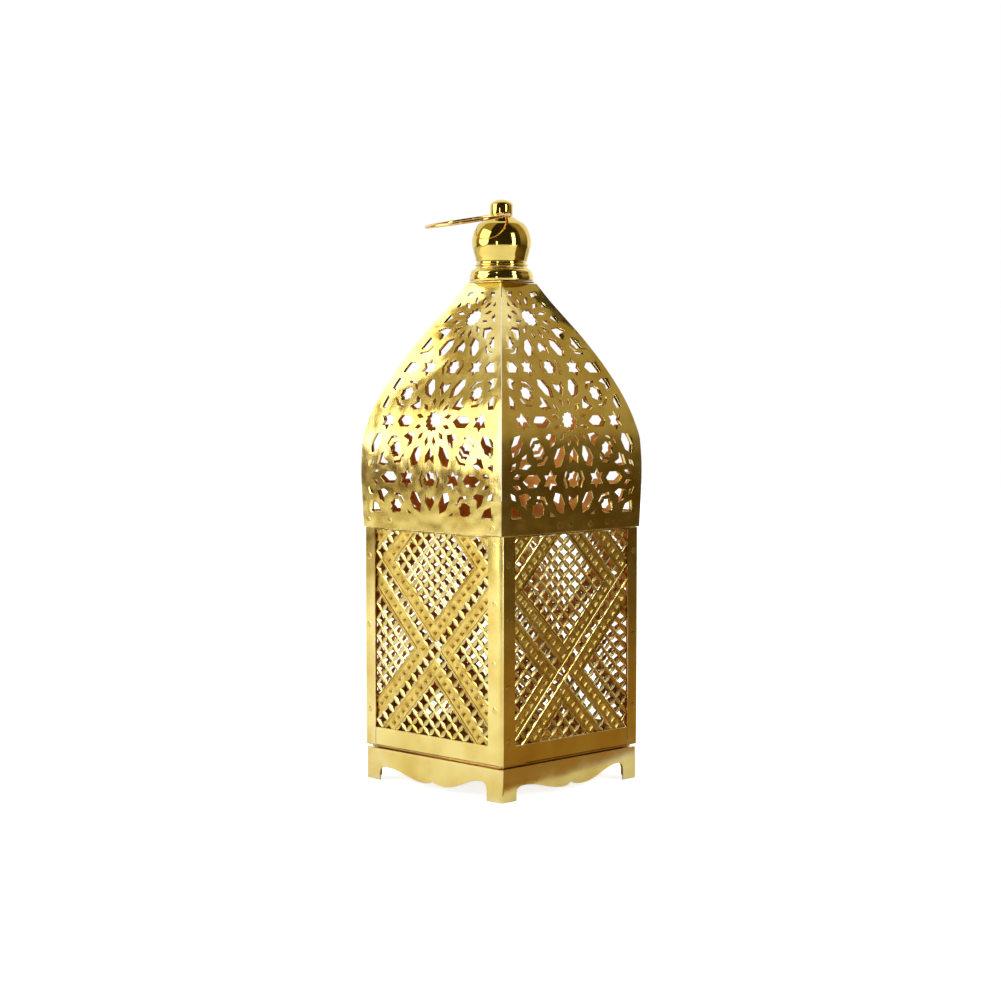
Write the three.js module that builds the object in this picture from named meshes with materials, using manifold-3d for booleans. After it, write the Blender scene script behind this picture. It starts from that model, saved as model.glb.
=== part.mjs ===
// Gold finished lantern of pierced sheet: a square body with lattice windows on a
// scalloped base, a four sided dome of pierced panels, and a ball finial with a ring.
// Millimetres, +Z up. The origin is on the ground under the middle of the lantern.

import * as THREE from 'three';
import { mergeVertices } from 'three/addons/utils/BufferGeometryUtils.js';
import Module from 'manifold-3d';

// Sheet and fits
const sheetThickness = 0.8;
const foldRadius = 2;
const clearance = 0.3;

// Base
const skirtInset = 0.4;
const skirtHeight = 17.1;
const skirtFlangeWidth = 4;
const trayRimRise = 5.4;
const beadHeight = 1;
const beadWidth = 2.2;

// Feet and the apron between them, in millimetres from the ground
const footWidth = 11.1;
const apronLeftHeight = 7.5;
const apronRightHeight = 9.7;
const apronBellyHeight = 2.8;
const apronCuspHeight = 4.8;

// Candle cup
const cupBore = 41;
const cupHeight = 14;

// Body
const bodySide = 105;
const bodyHeight = 118;
const bottomRailHeight = 10;
const cornerFlangeWidth = 10;
const postFlangeWidth = 8.6;
const bodyLipWidth = 4.3;
const domeRailHeight = 9.3;
const windowCutDepth = 1.2;

// Lattice panels
const latticeThickness = 0.7;
const latticeMargin = 5.6;
const latticeRise = 1.5;
const latticeWire = 2;
const latticePitch = 13.2;
const latticeBandStrip = 5.85;
const latticeCellsBetweenBands = 3;
const latticeSmallestHole = 40;

// Where the bands cross, from the middle of the face and from the ground
const frontCrossing = new THREE.Vector2(1.6, 74.2);
const sideCrossing = new THREE.Vector2(-5.6, 63);

// Dome outline: height above the sill, and how far out the face stands, from 0 at the
// square opening on top to 1 at the body's face
const domeTopHalf = 12.6;
const domeOutline = [
  new THREE.Vector2(0, 1.0075),
  new THREE.Vector2(31, 1.0288),
  new THREE.Vector2(46.6, 1.0125),
  new THREE.Vector2(60, 0.9386),
  new THREE.Vector2(75, 0.802),
  new THREE.Vector2(95, 0.5576),
  new THREE.Vector2(130.6, 0),
];
const domeSeam = 0.2;

// Piercing of the dome: twelve fold rosettes on a triangular grid
const rosettePitch = 61;
const mainRosetteHeight = 57.8;
const rosetteStarRadius = 5.8;
const rosetteStarNotch = 4.8;
const hexagramRadius = 5.3;
const hexagramNotch = 3.1;
const middleStarRadius = 4.6;
const domeSideBorder = 6;
const domeLowerBand = 8.6;
const domeUpperBand = 5.6;
const domeSmallestHole = 18;
const foldGap = 0.2;

// Petals, from the rosette's middle: where the tip, the shoulders and the end lie
const longPetal = { tip: 14.7, shoulder: 18.6, heel: 24.9, end: 27.6, halfWidth: 3.15 };
const shortPetal = { tip: 13.9, shoulder: 18.2, heel: 22.2, end: 20, halfWidth: 3.4 };

// Finial, from the cap plate up
const boltDiameter = 5;
const boltHoleSlack = 0.4;
const collarRadius = 17.1;
const collarHeight = 6.9;
const neckHeight = 3;
const neckRadius = 13.4;
const neckBeadRadius = 14.2;
const ballFootHeight = 6.9;
const ballFootRadius = 13.9;
const ballRadius = 15.9;
const ballHeight = 13.1;
const ballMiddleHeight = 3;
const flareHeight = 4.1;
const knobRadius = 6.1;
const knobHeight = 8.9;
const knobDomeRise = 3.2;
const boltReachInBall = 7;
const roundSteps = 16;

// Washer and nut under the cap plate
const washerRadius = 8;
const washerThickness = 1;
const nutAcrossCorners = 9.2;
const nutThickness = 4;
const boltTail = 2;

// Ring handle
const ringWireDiameter = 1.8;
const ringOuterDiameter = 46.2;
const ringHoleDiameter = 3.6;
const ringHoleHeightInKnob = 0.7;
const ringHoleOffset = 0.5;
const ringTurn = THREE.MathUtils.degToRad(-13);
const ringDroop = THREE.MathUtils.degToRad(10);

// Places that follow from the sizes above
const bodyHalf = bodySide / 2;
const skirtHalf = bodyHalf - skirtInset;
const footInnerEdge = skirtHalf - footWidth;
const trayNeckHalf = skirtHalf - skirtFlangeWidth - clearance;
const trayFloorTop = skirtHeight - sheetThickness - clearance;
const trayFloorBottom = trayFloorTop - sheetThickness;
const beadBottom = skirtHeight + clearance;
const beadTop = beadBottom + beadHeight;
const bodyBottom = beadTop + clearance;
const bodyTop = bodyBottom + bodyHeight;
const domeSill = bodyTop + clearance;
const latticeFace = bodyHalf - sheetThickness - clearance;
const latticeHalfWidth = bodyHalf - sheetThickness - latticeThickness - 2 * clearance - foldRadius;
const latticeBottom = bodyBottom + sheetThickness + latticeRise;
const latticeTop = bodyTop - sheetThickness - clearance;
const boltHoleRadius = boltDiameter / 2 + boltHoleSlack;

const satinGold = new THREE.MeshStandardMaterial({ color: 0xd2b048, roughness: 0.34, metalness: 1 });
const paleGold = new THREE.MeshStandardMaterial({ color: 0xe4cb62, roughness: 0.28, metalness: 1 });
const mirrorGold = new THREE.MeshStandardMaterial({ color: 0xe0bf4e, roughness: 0.08, metalness: 1 });
const wireGold = new THREE.MeshStandardMaterial({ color: 0xb98a3a, roughness: 0.22, metalness: 1 });
const plainSteel = new THREE.MeshStandardMaterial({ color: 0x9a968c, roughness: 0.45, metalness: 1 });

const wasm = await Module();
wasm.setup();

const lantern = new THREE.Group();

function addPiece(name, geometry, material, parent = lantern) {
  const mesh = new THREE.Mesh(geometry, material);
  mesh.name = name;
  parent.add(mesh);
  return mesh;
}

// Merges equal corners and leaves out triangles that have shrunk to a line
function weld(geometry) {
  const bare = geometry.clone();
  bare.deleteAttribute('normal');
  bare.deleteAttribute('uv');
  const merged = mergeVertices(bare, 1e-4);
  const corners = merged.index.array;
  const kept = [];
  for (let i = 0; i < corners.length; i += 3) {
    const [a, b, c] = [corners[i], corners[i + 1], corners[i + 2]];
    if (a !== b && b !== c && c !== a) kept.push(a, b, c);
  }
  merged.setIndex(kept);
  return merged;
}

function toSolid(geometry) {
  const welded = weld(geometry);
  return new wasm.Manifold(new wasm.Mesh({
    numProp: 3,
    vertProperties: new Float32Array(welded.attributes.position.array),
    triVerts: new Uint32Array(welded.index.array),
  }));
}

function toGeometry(solid) {
  const mesh = solid.getMesh();
  const geometry = new THREE.BufferGeometry();
  geometry.setAttribute('position', new THREE.BufferAttribute(mesh.vertProperties, 3));
  geometry.setIndex(new THREE.BufferAttribute(mesh.triVerts, 1));
  geometry.computeVertexNormals();
  return geometry;
}

function join(...geometries) {
  const solids = geometries.map(toSolid);
  return toGeometry(solids.reduce((whole, solid) => whole.add(solid)));
}

function cut(geometry, ...cutters) {
  const solids = cutters.map(toSolid);
  return toGeometry(solids.reduce((whole, solid) => whole.subtract(solid), toSolid(geometry)));
}

// Prism of a plan shape between two heights
function prism(shape, bottom, top) {
  const geometry = new THREE.ExtrudeGeometry(shape, {
    depth: top - bottom,
    bevelEnabled: false,
    curveSegments: 2,
  });
  return geometry.translate(0, 0, bottom);
}

function block(low, high) {
  const size = new THREE.Vector3().subVectors(high, low);
  const middle = new THREE.Vector3().addVectors(low, high).multiplyScalar(0.5);
  return new THREE.BoxGeometry(size.x, size.y, size.z).translate(middle.x, middle.y, middle.z);
}

// Upright plate parallel to the -Y face: the shape's y is the height, and the face
// of the plate nearest the viewer lies at the given distance from the middle
function uprightPlate(shape, thickness, faceDistance) {
  const geometry = new THREE.ExtrudeGeometry(shape, {
    depth: thickness,
    bevelEnabled: false,
    curveSegments: 4,
  });
  return geometry.translate(0, 0, -thickness).rotateX(Math.PI / 2).translate(0, -faceDistance, 0);
}

// Piece turned on a lathe: the profile is [radius, height] from the inside bottom,
// outwards, up and back in
function turned(profile, closed = false) {
  const points = profile.map(([radius, height]) => new THREE.Vector2(radius, height));
  if (closed) points.push(points[0].clone());
  return weld(new THREE.LatheGeometry(points, roundSteps).rotateX(Math.PI / 2));
}

function roundedSquare(half, radius, path = new THREE.Shape()) {
  const straight = half - radius;
  path.moveTo(-straight, -half);
  path.lineTo(straight, -half);
  path.absarc(straight, -straight, radius, -Math.PI / 2, 0);
  path.lineTo(half, straight);
  path.absarc(straight, straight, radius, 0, Math.PI / 2);
  path.lineTo(-straight, half);
  path.absarc(-straight, straight, radius, Math.PI / 2, Math.PI);
  path.lineTo(-half, -straight);
  path.absarc(-straight, -straight, radius, Math.PI, 1.5 * Math.PI);
  path.closePath();
  return path;
}

function squareRing(outerHalf, innerHalf) {
  const shape = roundedSquare(outerHalf, foldRadius);
  const innerRadius = Math.max(foldRadius - (outerHalf - innerHalf), foldRadius / 4);
  shape.holes.push(roundedSquare(innerHalf, innerRadius, new THREE.Path()));
  return shape;
}

// Base skirt

// The open space under one apron, from below the ground up to the wavy edge
function apronVoid() {
  const shape = new THREE.Shape();
  shape.moveTo(-footInnerEdge, -1);
  shape.lineTo(-footInnerEdge, 0.4 * apronLeftHeight);
  shape.quadraticCurveTo(-footInnerEdge + 0.6, apronLeftHeight, -0.85 * footInnerEdge, apronLeftHeight);
  shape.bezierCurveTo(
    -0.6 * footInnerEdge, apronLeftHeight,
    -0.4 * footInnerEdge, apronBellyHeight,
    -0.15 * footInnerEdge, apronBellyHeight,
  );
  shape.quadraticCurveTo(-0.06 * footInnerEdge, apronBellyHeight, 0, apronCuspHeight);
  shape.quadraticCurveTo(0.1 * footInnerEdge, apronBellyHeight, 0.22 * footInnerEdge, apronBellyHeight);
  shape.bezierCurveTo(
    0.5 * footInnerEdge, apronBellyHeight + 0.4,
    0.66 * footInnerEdge, apronRightHeight,
    0.9 * footInnerEdge, apronRightHeight,
  );
  shape.quadraticCurveTo(footInnerEdge - 0.6, apronRightHeight, footInnerEdge, 0.4 * apronRightHeight);
  shape.lineTo(footInnerEdge, -1);
  shape.closePath();
  return shape;
}

function baseSkirt() {
  const wall = prism(squareRing(skirtHalf, skirtHalf - sheetThickness), 0, skirtHeight);
  const flange = prism(
    squareRing(skirtHalf, skirtHalf - skirtFlangeWidth),
    skirtHeight - sheetThickness,
    skirtHeight,
  );
  const cutters = [];
  for (let side = 0; side < 4; side += 1) {
    const cutter = uprightPlate(apronVoid(), skirtHalf / 2, skirtHalf + 1);
    cutters.push(cutter.rotateZ(side * Math.PI / 2));
  }
  return cut(join(wall, flange), ...cutters);
}

// Tray: floor inside the skirt, neck up through the skirt's flange, and the bead
// that the body rests on
function baseTray() {
  const floorHalf = skirtHalf - sheetThickness - clearance;
  const floor = prism(roundedSquare(floorHalf, foldRadius), trayFloorBottom, trayFloorTop);
  const neck = prism(
    squareRing(trayNeckHalf, trayNeckHalf - sheetThickness),
    trayFloorBottom,
    skirtHeight + trayRimRise,
  );
  const bead = prism(
    squareRing(trayNeckHalf + beadWidth, trayNeckHalf - sheetThickness),
    beadBottom,
    beadTop,
  );
  return join(floor, neck, bead);
}

function candleCup() {
  const bore = cupBore / 2;
  const outside = bore + sheetThickness;
  return turned([
    [0, trayFloorTop],
    [outside, trayFloorTop],
    [outside, trayFloorTop + cupHeight],
    [bore, trayFloorTop + cupHeight],
    [bore, trayFloorTop + sheetThickness],
    [0, trayFloorTop + sheetThickness],
  ]);
}

// Body

// Plan of a sheet folded round the corner at +X -Y. Its legs end where the coordinate
// along each face has fallen to legEnd.
function anglePlan(faceHalf, thickness, legEnd) {
  const setBack = bodyHalf - faceHalf;
  const outerRadius = foldRadius - setBack;
  const innerHalf = faceHalf - thickness;
  const innerRadius = Math.max(outerRadius - thickness, foldRadius / 8);
  const centre = faceHalf - outerRadius;
  const innerCentre = innerHalf - innerRadius;
  const shape = new THREE.Shape();
  shape.moveTo(legEnd, -faceHalf);
  shape.lineTo(centre, -faceHalf);
  shape.absarc(centre, -centre, outerRadius, -Math.PI / 2, 0);
  shape.lineTo(faceHalf, -legEnd);
  shape.lineTo(innerHalf, -legEnd);
  shape.lineTo(innerHalf, -innerCentre);
  shape.absarc(innerCentre, -innerCentre, innerRadius, 0, -Math.PI / 2, true);
  shape.lineTo(legEnd, -innerHalf);
  shape.closePath();
  return shape;
}

// Wall, inward lip at the foot, and the stepped-in rail that carries the dome
function foldedCorner(legEnd) {
  const railHalf = bodyHalf - sheetThickness;
  const stepBottom = bodyTop - sheetThickness;
  return join(
    prism(anglePlan(bodyHalf, sheetThickness, legEnd), bodyBottom, bodyTop),
    prism(anglePlan(bodyHalf, bodyLipWidth, legEnd), bodyBottom, bodyBottom + sheetThickness),
    prism(anglePlan(bodyHalf, 2 * sheetThickness, legEnd), stepBottom, bodyTop),
    prism(anglePlan(railHalf, sheetThickness, legEnd), stepBottom, bodyTop + domeRailHeight),
  );
}

function bodyFrame() {
  const postEdge = bodyHalf - postFlangeWidth;
  const legEnd = clearance - postEdge;
  const windowEdge = bodyHalf - cornerFlangeWidth;
  const windowBottom = bodyBottom + bottomRailHeight;
  const windowTop = bodyTop - sheetThickness;
  const window = block(
    new THREE.Vector3(legEnd - 1, -bodyHalf - 1, windowBottom),
    new THREE.Vector3(windowEdge, -bodyHalf + windowCutDepth, windowTop),
  );
  const sideWindow = block(
    new THREE.Vector3(bodyHalf - windowCutDepth, -windowEdge, windowBottom),
    new THREE.Vector3(bodyHalf + 1, 1 - legEnd, windowTop),
  );
  return cut(foldedCorner(legEnd), window, sideWindow);
}

// Piercing

function starPoints(centre, count, outer, inner, turn = 0) {
  const points = [];
  for (let i = 0; i < 2 * count; i += 1) {
    const radius = i % 2 === 0 ? outer : inner;
    const angle = turn + i * Math.PI / count;
    points.push(new THREE.Vector2(
      centre.x + radius * Math.cos(angle),
      centre.y + radius * Math.sin(angle),
    ));
  }
  return points;
}

function polygonPoints(count, radius) {
  return starPoints(new THREE.Vector2(), count / 2, radius, radius);
}

function petalPoints(centre, angle, petal) {
  const along = new THREE.Vector2(Math.cos(angle), Math.sin(angle));
  const across = new THREE.Vector2(-along.y, along.x);
  const place = (distance, side) => centre.clone()
    .addScaledVector(along, distance)
    .addScaledVector(across, side * petal.halfWidth);
  return [
    place(petal.tip, 0),
    place(petal.shoulder, -1),
    place(petal.heel, -1),
    place(petal.end, 0),
    place(petal.heel, 1),
    place(petal.shoulder, 1),
  ];
}

// Keeps the part of a hole that lies inside the border, a convex outline that runs
// anticlockwise
function trimHole(points, border) {
  let kept = points;
  for (let i = 0; i < border.length; i += 1) {
    const from = border[i];
    const to = border[(i + 1) % border.length];
    const edge = new THREE.Vector2().subVectors(to, from);
    const inside = (point) => edge.cross(new THREE.Vector2().subVectors(point, from));
    const next = [];
    for (let j = 0; j < kept.length; j += 1) {
      const here = kept[j];
      const there = kept[(j + 1) % kept.length];
      const a = inside(here);
      const b = inside(there);
      if (a >= 0) next.push(here);
      if (a * b < 0) next.push(here.clone().lerp(there, a / (a - b)));
    }
    kept = next;
  }
  return kept;
}

// The holes as far as they lie inside the border, without those that it leaves
// smaller than the smallest
function trimHoles(holes, border, smallest) {
  const trimmed = holes.map((hole) => trimHole(hole, border));
  return trimmed.filter((hole) => hole.length > 2 && THREE.ShapeUtils.area(hole) >= smallest);
}

// Flat plate with its outer face at z = 0
function piercedPlate(outline, holes, thickness) {
  const plate = prism(new THREE.Shape(outline), -thickness, 0);
  const openings = holes.map((hole) => new THREE.Shape(hole));
  return cut(plate, prism(openings, -2 * thickness, thickness));
}

// Lattice: square holes on a diagonal grid, with a plain strip on each side of the
// rows that make the crossing bands
function latticePlace(index) {
  const cells = latticeCellsBetweenBands + 1;
  const bands = Math.floor(index / cells);
  const step = index - bands * cells;
  const period = cells * latticePitch + 2 * latticeBandStrip;
  return bands * period + (step === 0 ? 0 : step * latticePitch + latticeBandStrip);
}

function latticePanel(crossing) {
  const outline = [
    new THREE.Vector2(-latticeHalfWidth, latticeBottom),
    new THREE.Vector2(latticeHalfWidth, latticeBottom),
    new THREE.Vector2(latticeHalfWidth, latticeTop),
    new THREE.Vector2(-latticeHalfWidth, latticeTop),
  ];
  const border = outline.map((corner) => new THREE.Vector2(
    corner.x - Math.sign(corner.x) * latticeMargin,
    corner.y + (corner.y === latticeBottom ? latticeMargin : -latticeMargin),
  ));
  const holeHalf = (latticePitch - latticeWire) / 2;
  const reach = Math.ceil((latticeTop - latticeBottom + latticeHalfWidth) / latticePitch);
  const holes = [];
  for (let i = -reach; i <= reach; i += 1) {
    for (let j = -reach; j <= reach; j += 1) {
      const a = latticePlace(i);
      const b = latticePlace(j);
      const centre = new THREE.Vector2(a - b, a + b).multiplyScalar(Math.SQRT1_2).add(crossing);
      const corner = holeHalf * Math.SQRT2;
      holes.push([
        new THREE.Vector2(centre.x + corner, centre.y),
        new THREE.Vector2(centre.x, centre.y + corner),
        new THREE.Vector2(centre.x - corner, centre.y),
        new THREE.Vector2(centre.x, centre.y - corner),
      ]);
    }
  }
  const trimmed = trimHoles(holes, border, latticeSmallestHole);
  const plate = piercedPlate(outline, trimmed, latticeThickness);
  return plate.rotateX(Math.PI / 2).translate(0, -latticeFace, 0);
}

// Dome

// Fold lines of a dome panel: how far along the sheet each lies, its half width and
// height, and the direction of the sheet's thickness there
function domeFolds() {
  const folds = domeOutline.map((point) => ({
    half: domeTopHalf + point.y * (bodyHalf - domeTopHalf),
    height: domeSill + point.x,
  }));
  const normals = [];
  let along = 0;
  folds[0].along = 0;
  for (let i = 1; i < folds.length; i += 1) {
    const run = new THREE.Vector2(folds[i].half - folds[i - 1].half, folds[i].height - folds[i - 1].height);
    along += run.length();
    folds[i].along = Math.fround(along);
    run.normalize();
    normals.push(new THREE.Vector2(run.y, -run.x));
  }
  folds.forEach((fold, i) => {
    const below = normals[Math.max(i - 1, 0)];
    const above = normals[Math.min(i, normals.length - 1)];
    const sum = new THREE.Vector2().addVectors(below, above);
    fold.out = sum.divideScalar(1 + below.dot(above));
  });
  return folds;
}

function domeHoles() {
  const holes = [];
  const columnStep = rosettePitch * Math.cos(Math.PI / 6);
  for (let column = -1; column <= 1; column += 1) {
    for (let row = -2; row <= 2; row += 1) {
      const rise = row + (column === 0 ? 0 : 0.5);
      const centre = new THREE.Vector2(column * columnStep, mainRosetteHeight + rise * rosettePitch);
      holes.push(starPoints(centre, 12, rosetteStarRadius, rosetteStarNotch));
      for (let k = 0; k < 6; k += 1) {
        holes.push(petalPoints(centre, k * Math.PI / 3, longPetal));
        holes.push(petalPoints(centre, (k + 0.5) * Math.PI / 3, shortPetal));
      }
      for (let k = 0; k < 2; k += 1) {
        const angle = k * Math.PI / 3;
        const triangle = new THREE.Vector2(Math.cos(angle), Math.sin(angle));
        triangle.multiplyScalar(rosettePitch / Math.sqrt(3)).add(centre);
        holes.push(starPoints(triangle, 6, hexagramRadius, hexagramNotch, Math.PI / 2));
      }
      for (let k = 0; k < 3; k += 1) {
        const angle = (k + 0.5) * Math.PI / 3;
        const middle = new THREE.Vector2(Math.cos(angle), Math.sin(angle));
        middle.multiplyScalar(rosettePitch / 2).add(centre);
        holes.push(starPoints(middle, 4, middleStarRadius, middleStarRadius, angle));
      }
    }
  }
  return holes;
}

// Keeps the corners of the holes off the fold lines
function clearFold(point, folds) {
  for (const fold of folds) {
    const past = point.y - fold.along;
    if (Math.abs(past) < foldGap) point.y = fold.along + (past < 0 ? -foldGap : foldGap);
  }
}

// Where a point of the flat sheet lands once it is bent: x is across the panel, y
// along the sheet and z out of it
function bend(point, lower, upper) {
  const share = (point.y - lower.along) / (upper.along - lower.along);
  const mix = (a, b) => a * (1 - share) + b * share;
  const half = mix(lower.half, upper.half);
  const distance = half + point.z * mix(lower.out.x, upper.out.x);
  const height = mix(lower.height, upper.height) + point.z * mix(lower.out.y, upper.out.y);
  const across = point.x * (distance - domeSeam) / half;
  return [across, -distance, height];
}

// The triangles of the flat strip between two folds, without the cut faces where it
// runs on into the next strip
function stripTriangles(flat, lower, upper, openFolds) {
  const slab = block(
    new THREE.Vector3(-2 * bodySide, lower.along, -2 * sheetThickness),
    new THREE.Vector3(2 * bodySide, upper.along, sheetThickness),
  );
  const mesh = flat.intersect(toSolid(slab)).getMesh();
  const triangles = [];
  for (let i = 0; i < mesh.triVerts.length; i += 3) {
    const corners = [0, 1, 2].map((k) => {
      const corner = new THREE.Vector3().fromArray(mesh.vertProperties, 3 * mesh.triVerts[i + k]);
      corner.x = Math.round(1000 * corner.x) / 1000;
      return corner;
    });
    const onCut = openFolds.some((fold) => corners.every((corner) => corner.y === fold.along));
    if (!onCut) triangles.push(corners);
  }
  return triangles;
}

// Splits a triangle at the corners that the strip across the fold has along its edge
function stitch(triangle, foldCorners) {
  for (let k = 0; k < 3; k += 1) {
    const from = triangle[k];
    const to = triangle[(k + 1) % 3];
    const tip = triangle[(k + 2) % 3];
    const between = foldCorners.filter((corner) => corner.y === from.y && corner.y === to.y
      && corner.z === from.z && corner.z === to.z && (corner.x - from.x) * (corner.x - to.x) < 0);
    if (between.length > 0) {
      const middle = between[0];
      return [
        ...stitch([from, middle, tip], foldCorners),
        ...stitch([middle, to, tip], foldCorners),
      ];
    }
  }
  return [triangle];
}

function domePanel() {
  const folds = domeFolds();
  const last = folds[folds.length - 1];
  const upper = folds[folds.length - 2];
  const rightEdge = folds.map((fold) => new THREE.Vector2(fold.half, fold.along));
  const border = rightEdge.map((point) => {
    const height = THREE.MathUtils.clamp(point.y, domeLowerBand, last.along - domeUpperBand);
    return new THREE.Vector2(point.x - domeSideBorder, height);
  });
  const taper = (upper.half - last.half) / (last.along - upper.along);
  border[border.length - 1].x += taper * domeUpperBand;
  const mirrored = (edge) => edge.map((point) => new THREE.Vector2(-point.x, point.y)).reverse();
  const holes = trimHoles(domeHoles(), [...border, ...mirrored(border)], domeSmallestHole);
  holes.forEach((hole) => hole.forEach((point) => clearFold(point, folds)));
  const plate = piercedPlate([...rightEdge, ...mirrored(rightEdge)], holes, sheetThickness);
  const flat = toSolid(plate);
  const openFolds = folds.slice(1, -1);
  const strips = [];
  for (let i = 0; i + 1 < folds.length; i += 1) {
    strips.push(stripTriangles(flat, folds[i], folds[i + 1], openFolds));
  }
  const onOpenFold = (corner) => openFolds.some((fold) => fold.along === corner.y);
  const foldCorners = strips.flat(2).filter(onOpenFold);
  const positions = [];
  strips.forEach((strip, i) => {
    for (const corner of strip.flatMap((triangle) => stitch(triangle, foldCorners)).flat()) {
      positions.push(...bend(corner, folds[i], folds[i + 1]));
    }
  });
  const geometry = new THREE.BufferGeometry();
  geometry.setAttribute('position', new THREE.Float32BufferAttribute(positions, 3));
  return weld(geometry);
}

// Assembly of the base and the body

addPiece('base_skirt', baseSkirt(), satinGold);
addPiece('base_tray', baseTray(), satinGold);
addPiece('candle_cup', candleCup(), paleGold);

const frameShape = bodyFrame();
addPiece('body_frame_front', frameShape, satinGold);
addPiece('body_frame_rear', frameShape, satinGold).rotation.z = Math.PI;

const postShape = foldedCorner(bodyHalf - postFlangeWidth);
addPiece('corner_post_right', postShape, satinGold).rotation.z = Math.PI / 2;
addPiece('corner_post_left', postShape, satinGold).rotation.z = -Math.PI / 2;

const frontLattice = latticePanel(frontCrossing);
const sideLattice = latticePanel(sideCrossing);
const domeShape = domePanel();
const sides = ['front', 'right', 'back', 'left'];
sides.forEach((side, i) => {
  const turn = i * Math.PI / 2;
  addPiece(`lattice_${side}`, i % 2 === 0 ? frontLattice : sideLattice, paleGold).rotation.z = turn;
  addPiece(`dome_panel_${side}`, domeShape, satinGold).rotation.z = turn;
});

// Cap plate and finial

const domeRise = domeOutline[domeOutline.length - 1].x;
const capBottom = domeSill + domeRise + clearance;
const capTop = capBottom + sheetThickness;
const collarBottom = capTop + clearance;
const neckBottom = collarBottom + collarHeight + clearance;
const ballBottom = neckBottom + neckHeight + clearance;
const flareBottom = ballBottom + ballFootHeight + ballHeight;
const knobBottom = flareBottom + flareHeight;
const knobTop = knobBottom + knobHeight;
const boltTop = ballBottom + boltReachInBall;
const washerTop = capBottom - clearance;
const washerBottom = washerTop - washerThickness;
const nutTop = washerBottom - clearance;
const nutBottom = nutTop - nutThickness;

function capPlate() {
  const shape = roundedSquare(domeTopHalf, foldRadius / 2);
  shape.holes.push(new THREE.Path(polygonPoints(roundSteps, boltHoleRadius)));
  return prism(shape, capBottom, capTop);
}

// Stepped collar: two rounded steps below a hollow that meets the neck
function finialCollar() {
  const step = collarHeight / 7;
  return turned([
    [boltHoleRadius, collarBottom],
    [collarRadius - 0.3, collarBottom],
    [collarRadius, collarBottom + step],
    [collarRadius, collarBottom + 3.2 * step],
    [collarRadius - 0.5, collarBottom + 4 * step],
    [collarRadius - 0.6, collarBottom + 4.6 * step],
    [collarRadius - 1.6, collarBottom + 5.8 * step],
    [neckRadius + 0.8, collarBottom + collarHeight],
    [boltHoleRadius, collarBottom + collarHeight],
  ], true);
}

function finialNeck() {
  return turned([
    [boltHoleRadius, neckBottom],
    [neckRadius, neckBottom],
    [neckBeadRadius, neckBottom + 0.3 * neckHeight],
    [neckBeadRadius, neckBottom + 0.5 * neckHeight],
    [neckRadius, neckBottom + 0.8 * neckHeight],
    [neckRadius, neckBottom + neckHeight],
    [boltHoleRadius, neckBottom + neckHeight],
  ], true);
}

// Drawn-in foot, ball, hollow flare and knob in one turned piece, with a blind hole
// for the stud
function finialBall() {
  const profile = [
    [0, boltTop + clearance],
    [boltHoleRadius, boltTop + clearance],
    [boltHoleRadius, ballBottom],
    [ballFootRadius, ballBottom],
    [ballRadius - 0.9, ballBottom + 0.5 * ballFootHeight],
    [ballRadius - 0.25, ballBottom + ballFootHeight],
  ];
  const middle = ballBottom + ballFootHeight + ballMiddleHeight;
  const flareStart = Math.asin((flareBottom - middle) / ballRadius);
  for (let i = 0; i <= 5; i += 1) {
    const angle = i / 5 * flareStart;
    profile.push([ballRadius * Math.cos(angle), middle + ballRadius * Math.sin(angle)]);
  }
  // The flare sweeps in and up to the knob
  const flareRadius = ballRadius * Math.cos(flareStart);
  for (let i = 1; i <= 4; i += 1) {
    const rise = i / 4;
    const radius = knobRadius + (flareRadius - knobRadius) * (1 - rise) ** 1.3;
    profile.push([radius, flareBottom + rise * flareHeight]);
  }
  for (let i = 0; i <= 4; i += 1) {
    const angle = i * Math.PI / 8;
    const radius = i === 4 ? 0 : knobRadius * Math.cos(angle);
    profile.push([radius, knobTop - knobDomeRise + knobDomeRise * Math.sin(angle)]);
  }
  return turned(profile);
}

const ringHoleHeight = knobBottom + ringHoleHeightInKnob;

function crossHole() {
  const radius = ringHoleDiameter / 2;
  const hole = new THREE.CylinderGeometry(radius, radius, 4 * ballRadius, roundSteps / 2);
  return hole.rotateZ(Math.PI / 2).rotateZ(ringTurn).translate(0, 0, ringHoleHeight);
}

function tube(outerRadius, innerRadius, bottom, top) {
  return turned([
    [innerRadius, bottom],
    [outerRadius, bottom],
    [outerRadius, top],
    [innerRadius, top],
  ], true);
}

function stud() {
  return turned([
    [0, nutBottom - boltTail],
    [boltDiameter / 2, nutBottom - boltTail],
    [boltDiameter / 2, boltTop],
    [0, boltTop],
  ]);
}

function hexNut() {
  const shape = new THREE.Shape(polygonPoints(6, nutAcrossCorners / 2));
  shape.holes.push(new THREE.Path(polygonPoints(roundSteps, boltHoleRadius)));
  return prism(shape, nutBottom, nutTop);
}

addPiece('cap_plate', capPlate(), satinGold);
addPiece('finial_collar', finialCollar(), mirrorGold);
addPiece('finial_neck', finialNeck(), mirrorGold);
addPiece('finial_ball', cut(finialBall(), crossHole()), mirrorGold);
addPiece('finial_stud', stud(), plainSteel);
addPiece('stud_washer', tube(washerRadius, boltHoleRadius, washerBottom, washerTop), plainSteel);
addPiece('stud_nut', hexNut(), plainSteel);

// Ring handle: its wire runs through the knob's cross hole, and it lies over to one
// side with its far end a little lower

const ringRadius = (ringOuterDiameter - ringWireDiameter) / 2;
const ringPivot = new THREE.Group();
ringPivot.position.z = ringHoleHeight;
ringPivot.rotation.z = ringTurn;
const ringLeaf = new THREE.Group();
ringLeaf.rotation.x = ringDroop;
ringPivot.add(ringLeaf);
lantern.add(ringPivot);
const ringShape = new THREE.TorusGeometry(ringRadius, ringWireDiameter / 2, 6, 28);
addPiece('ring_handle', ringShape, wireGold, ringLeaf).position.y = ringHoleOffset - ringRadius;

export default lantern;
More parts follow.
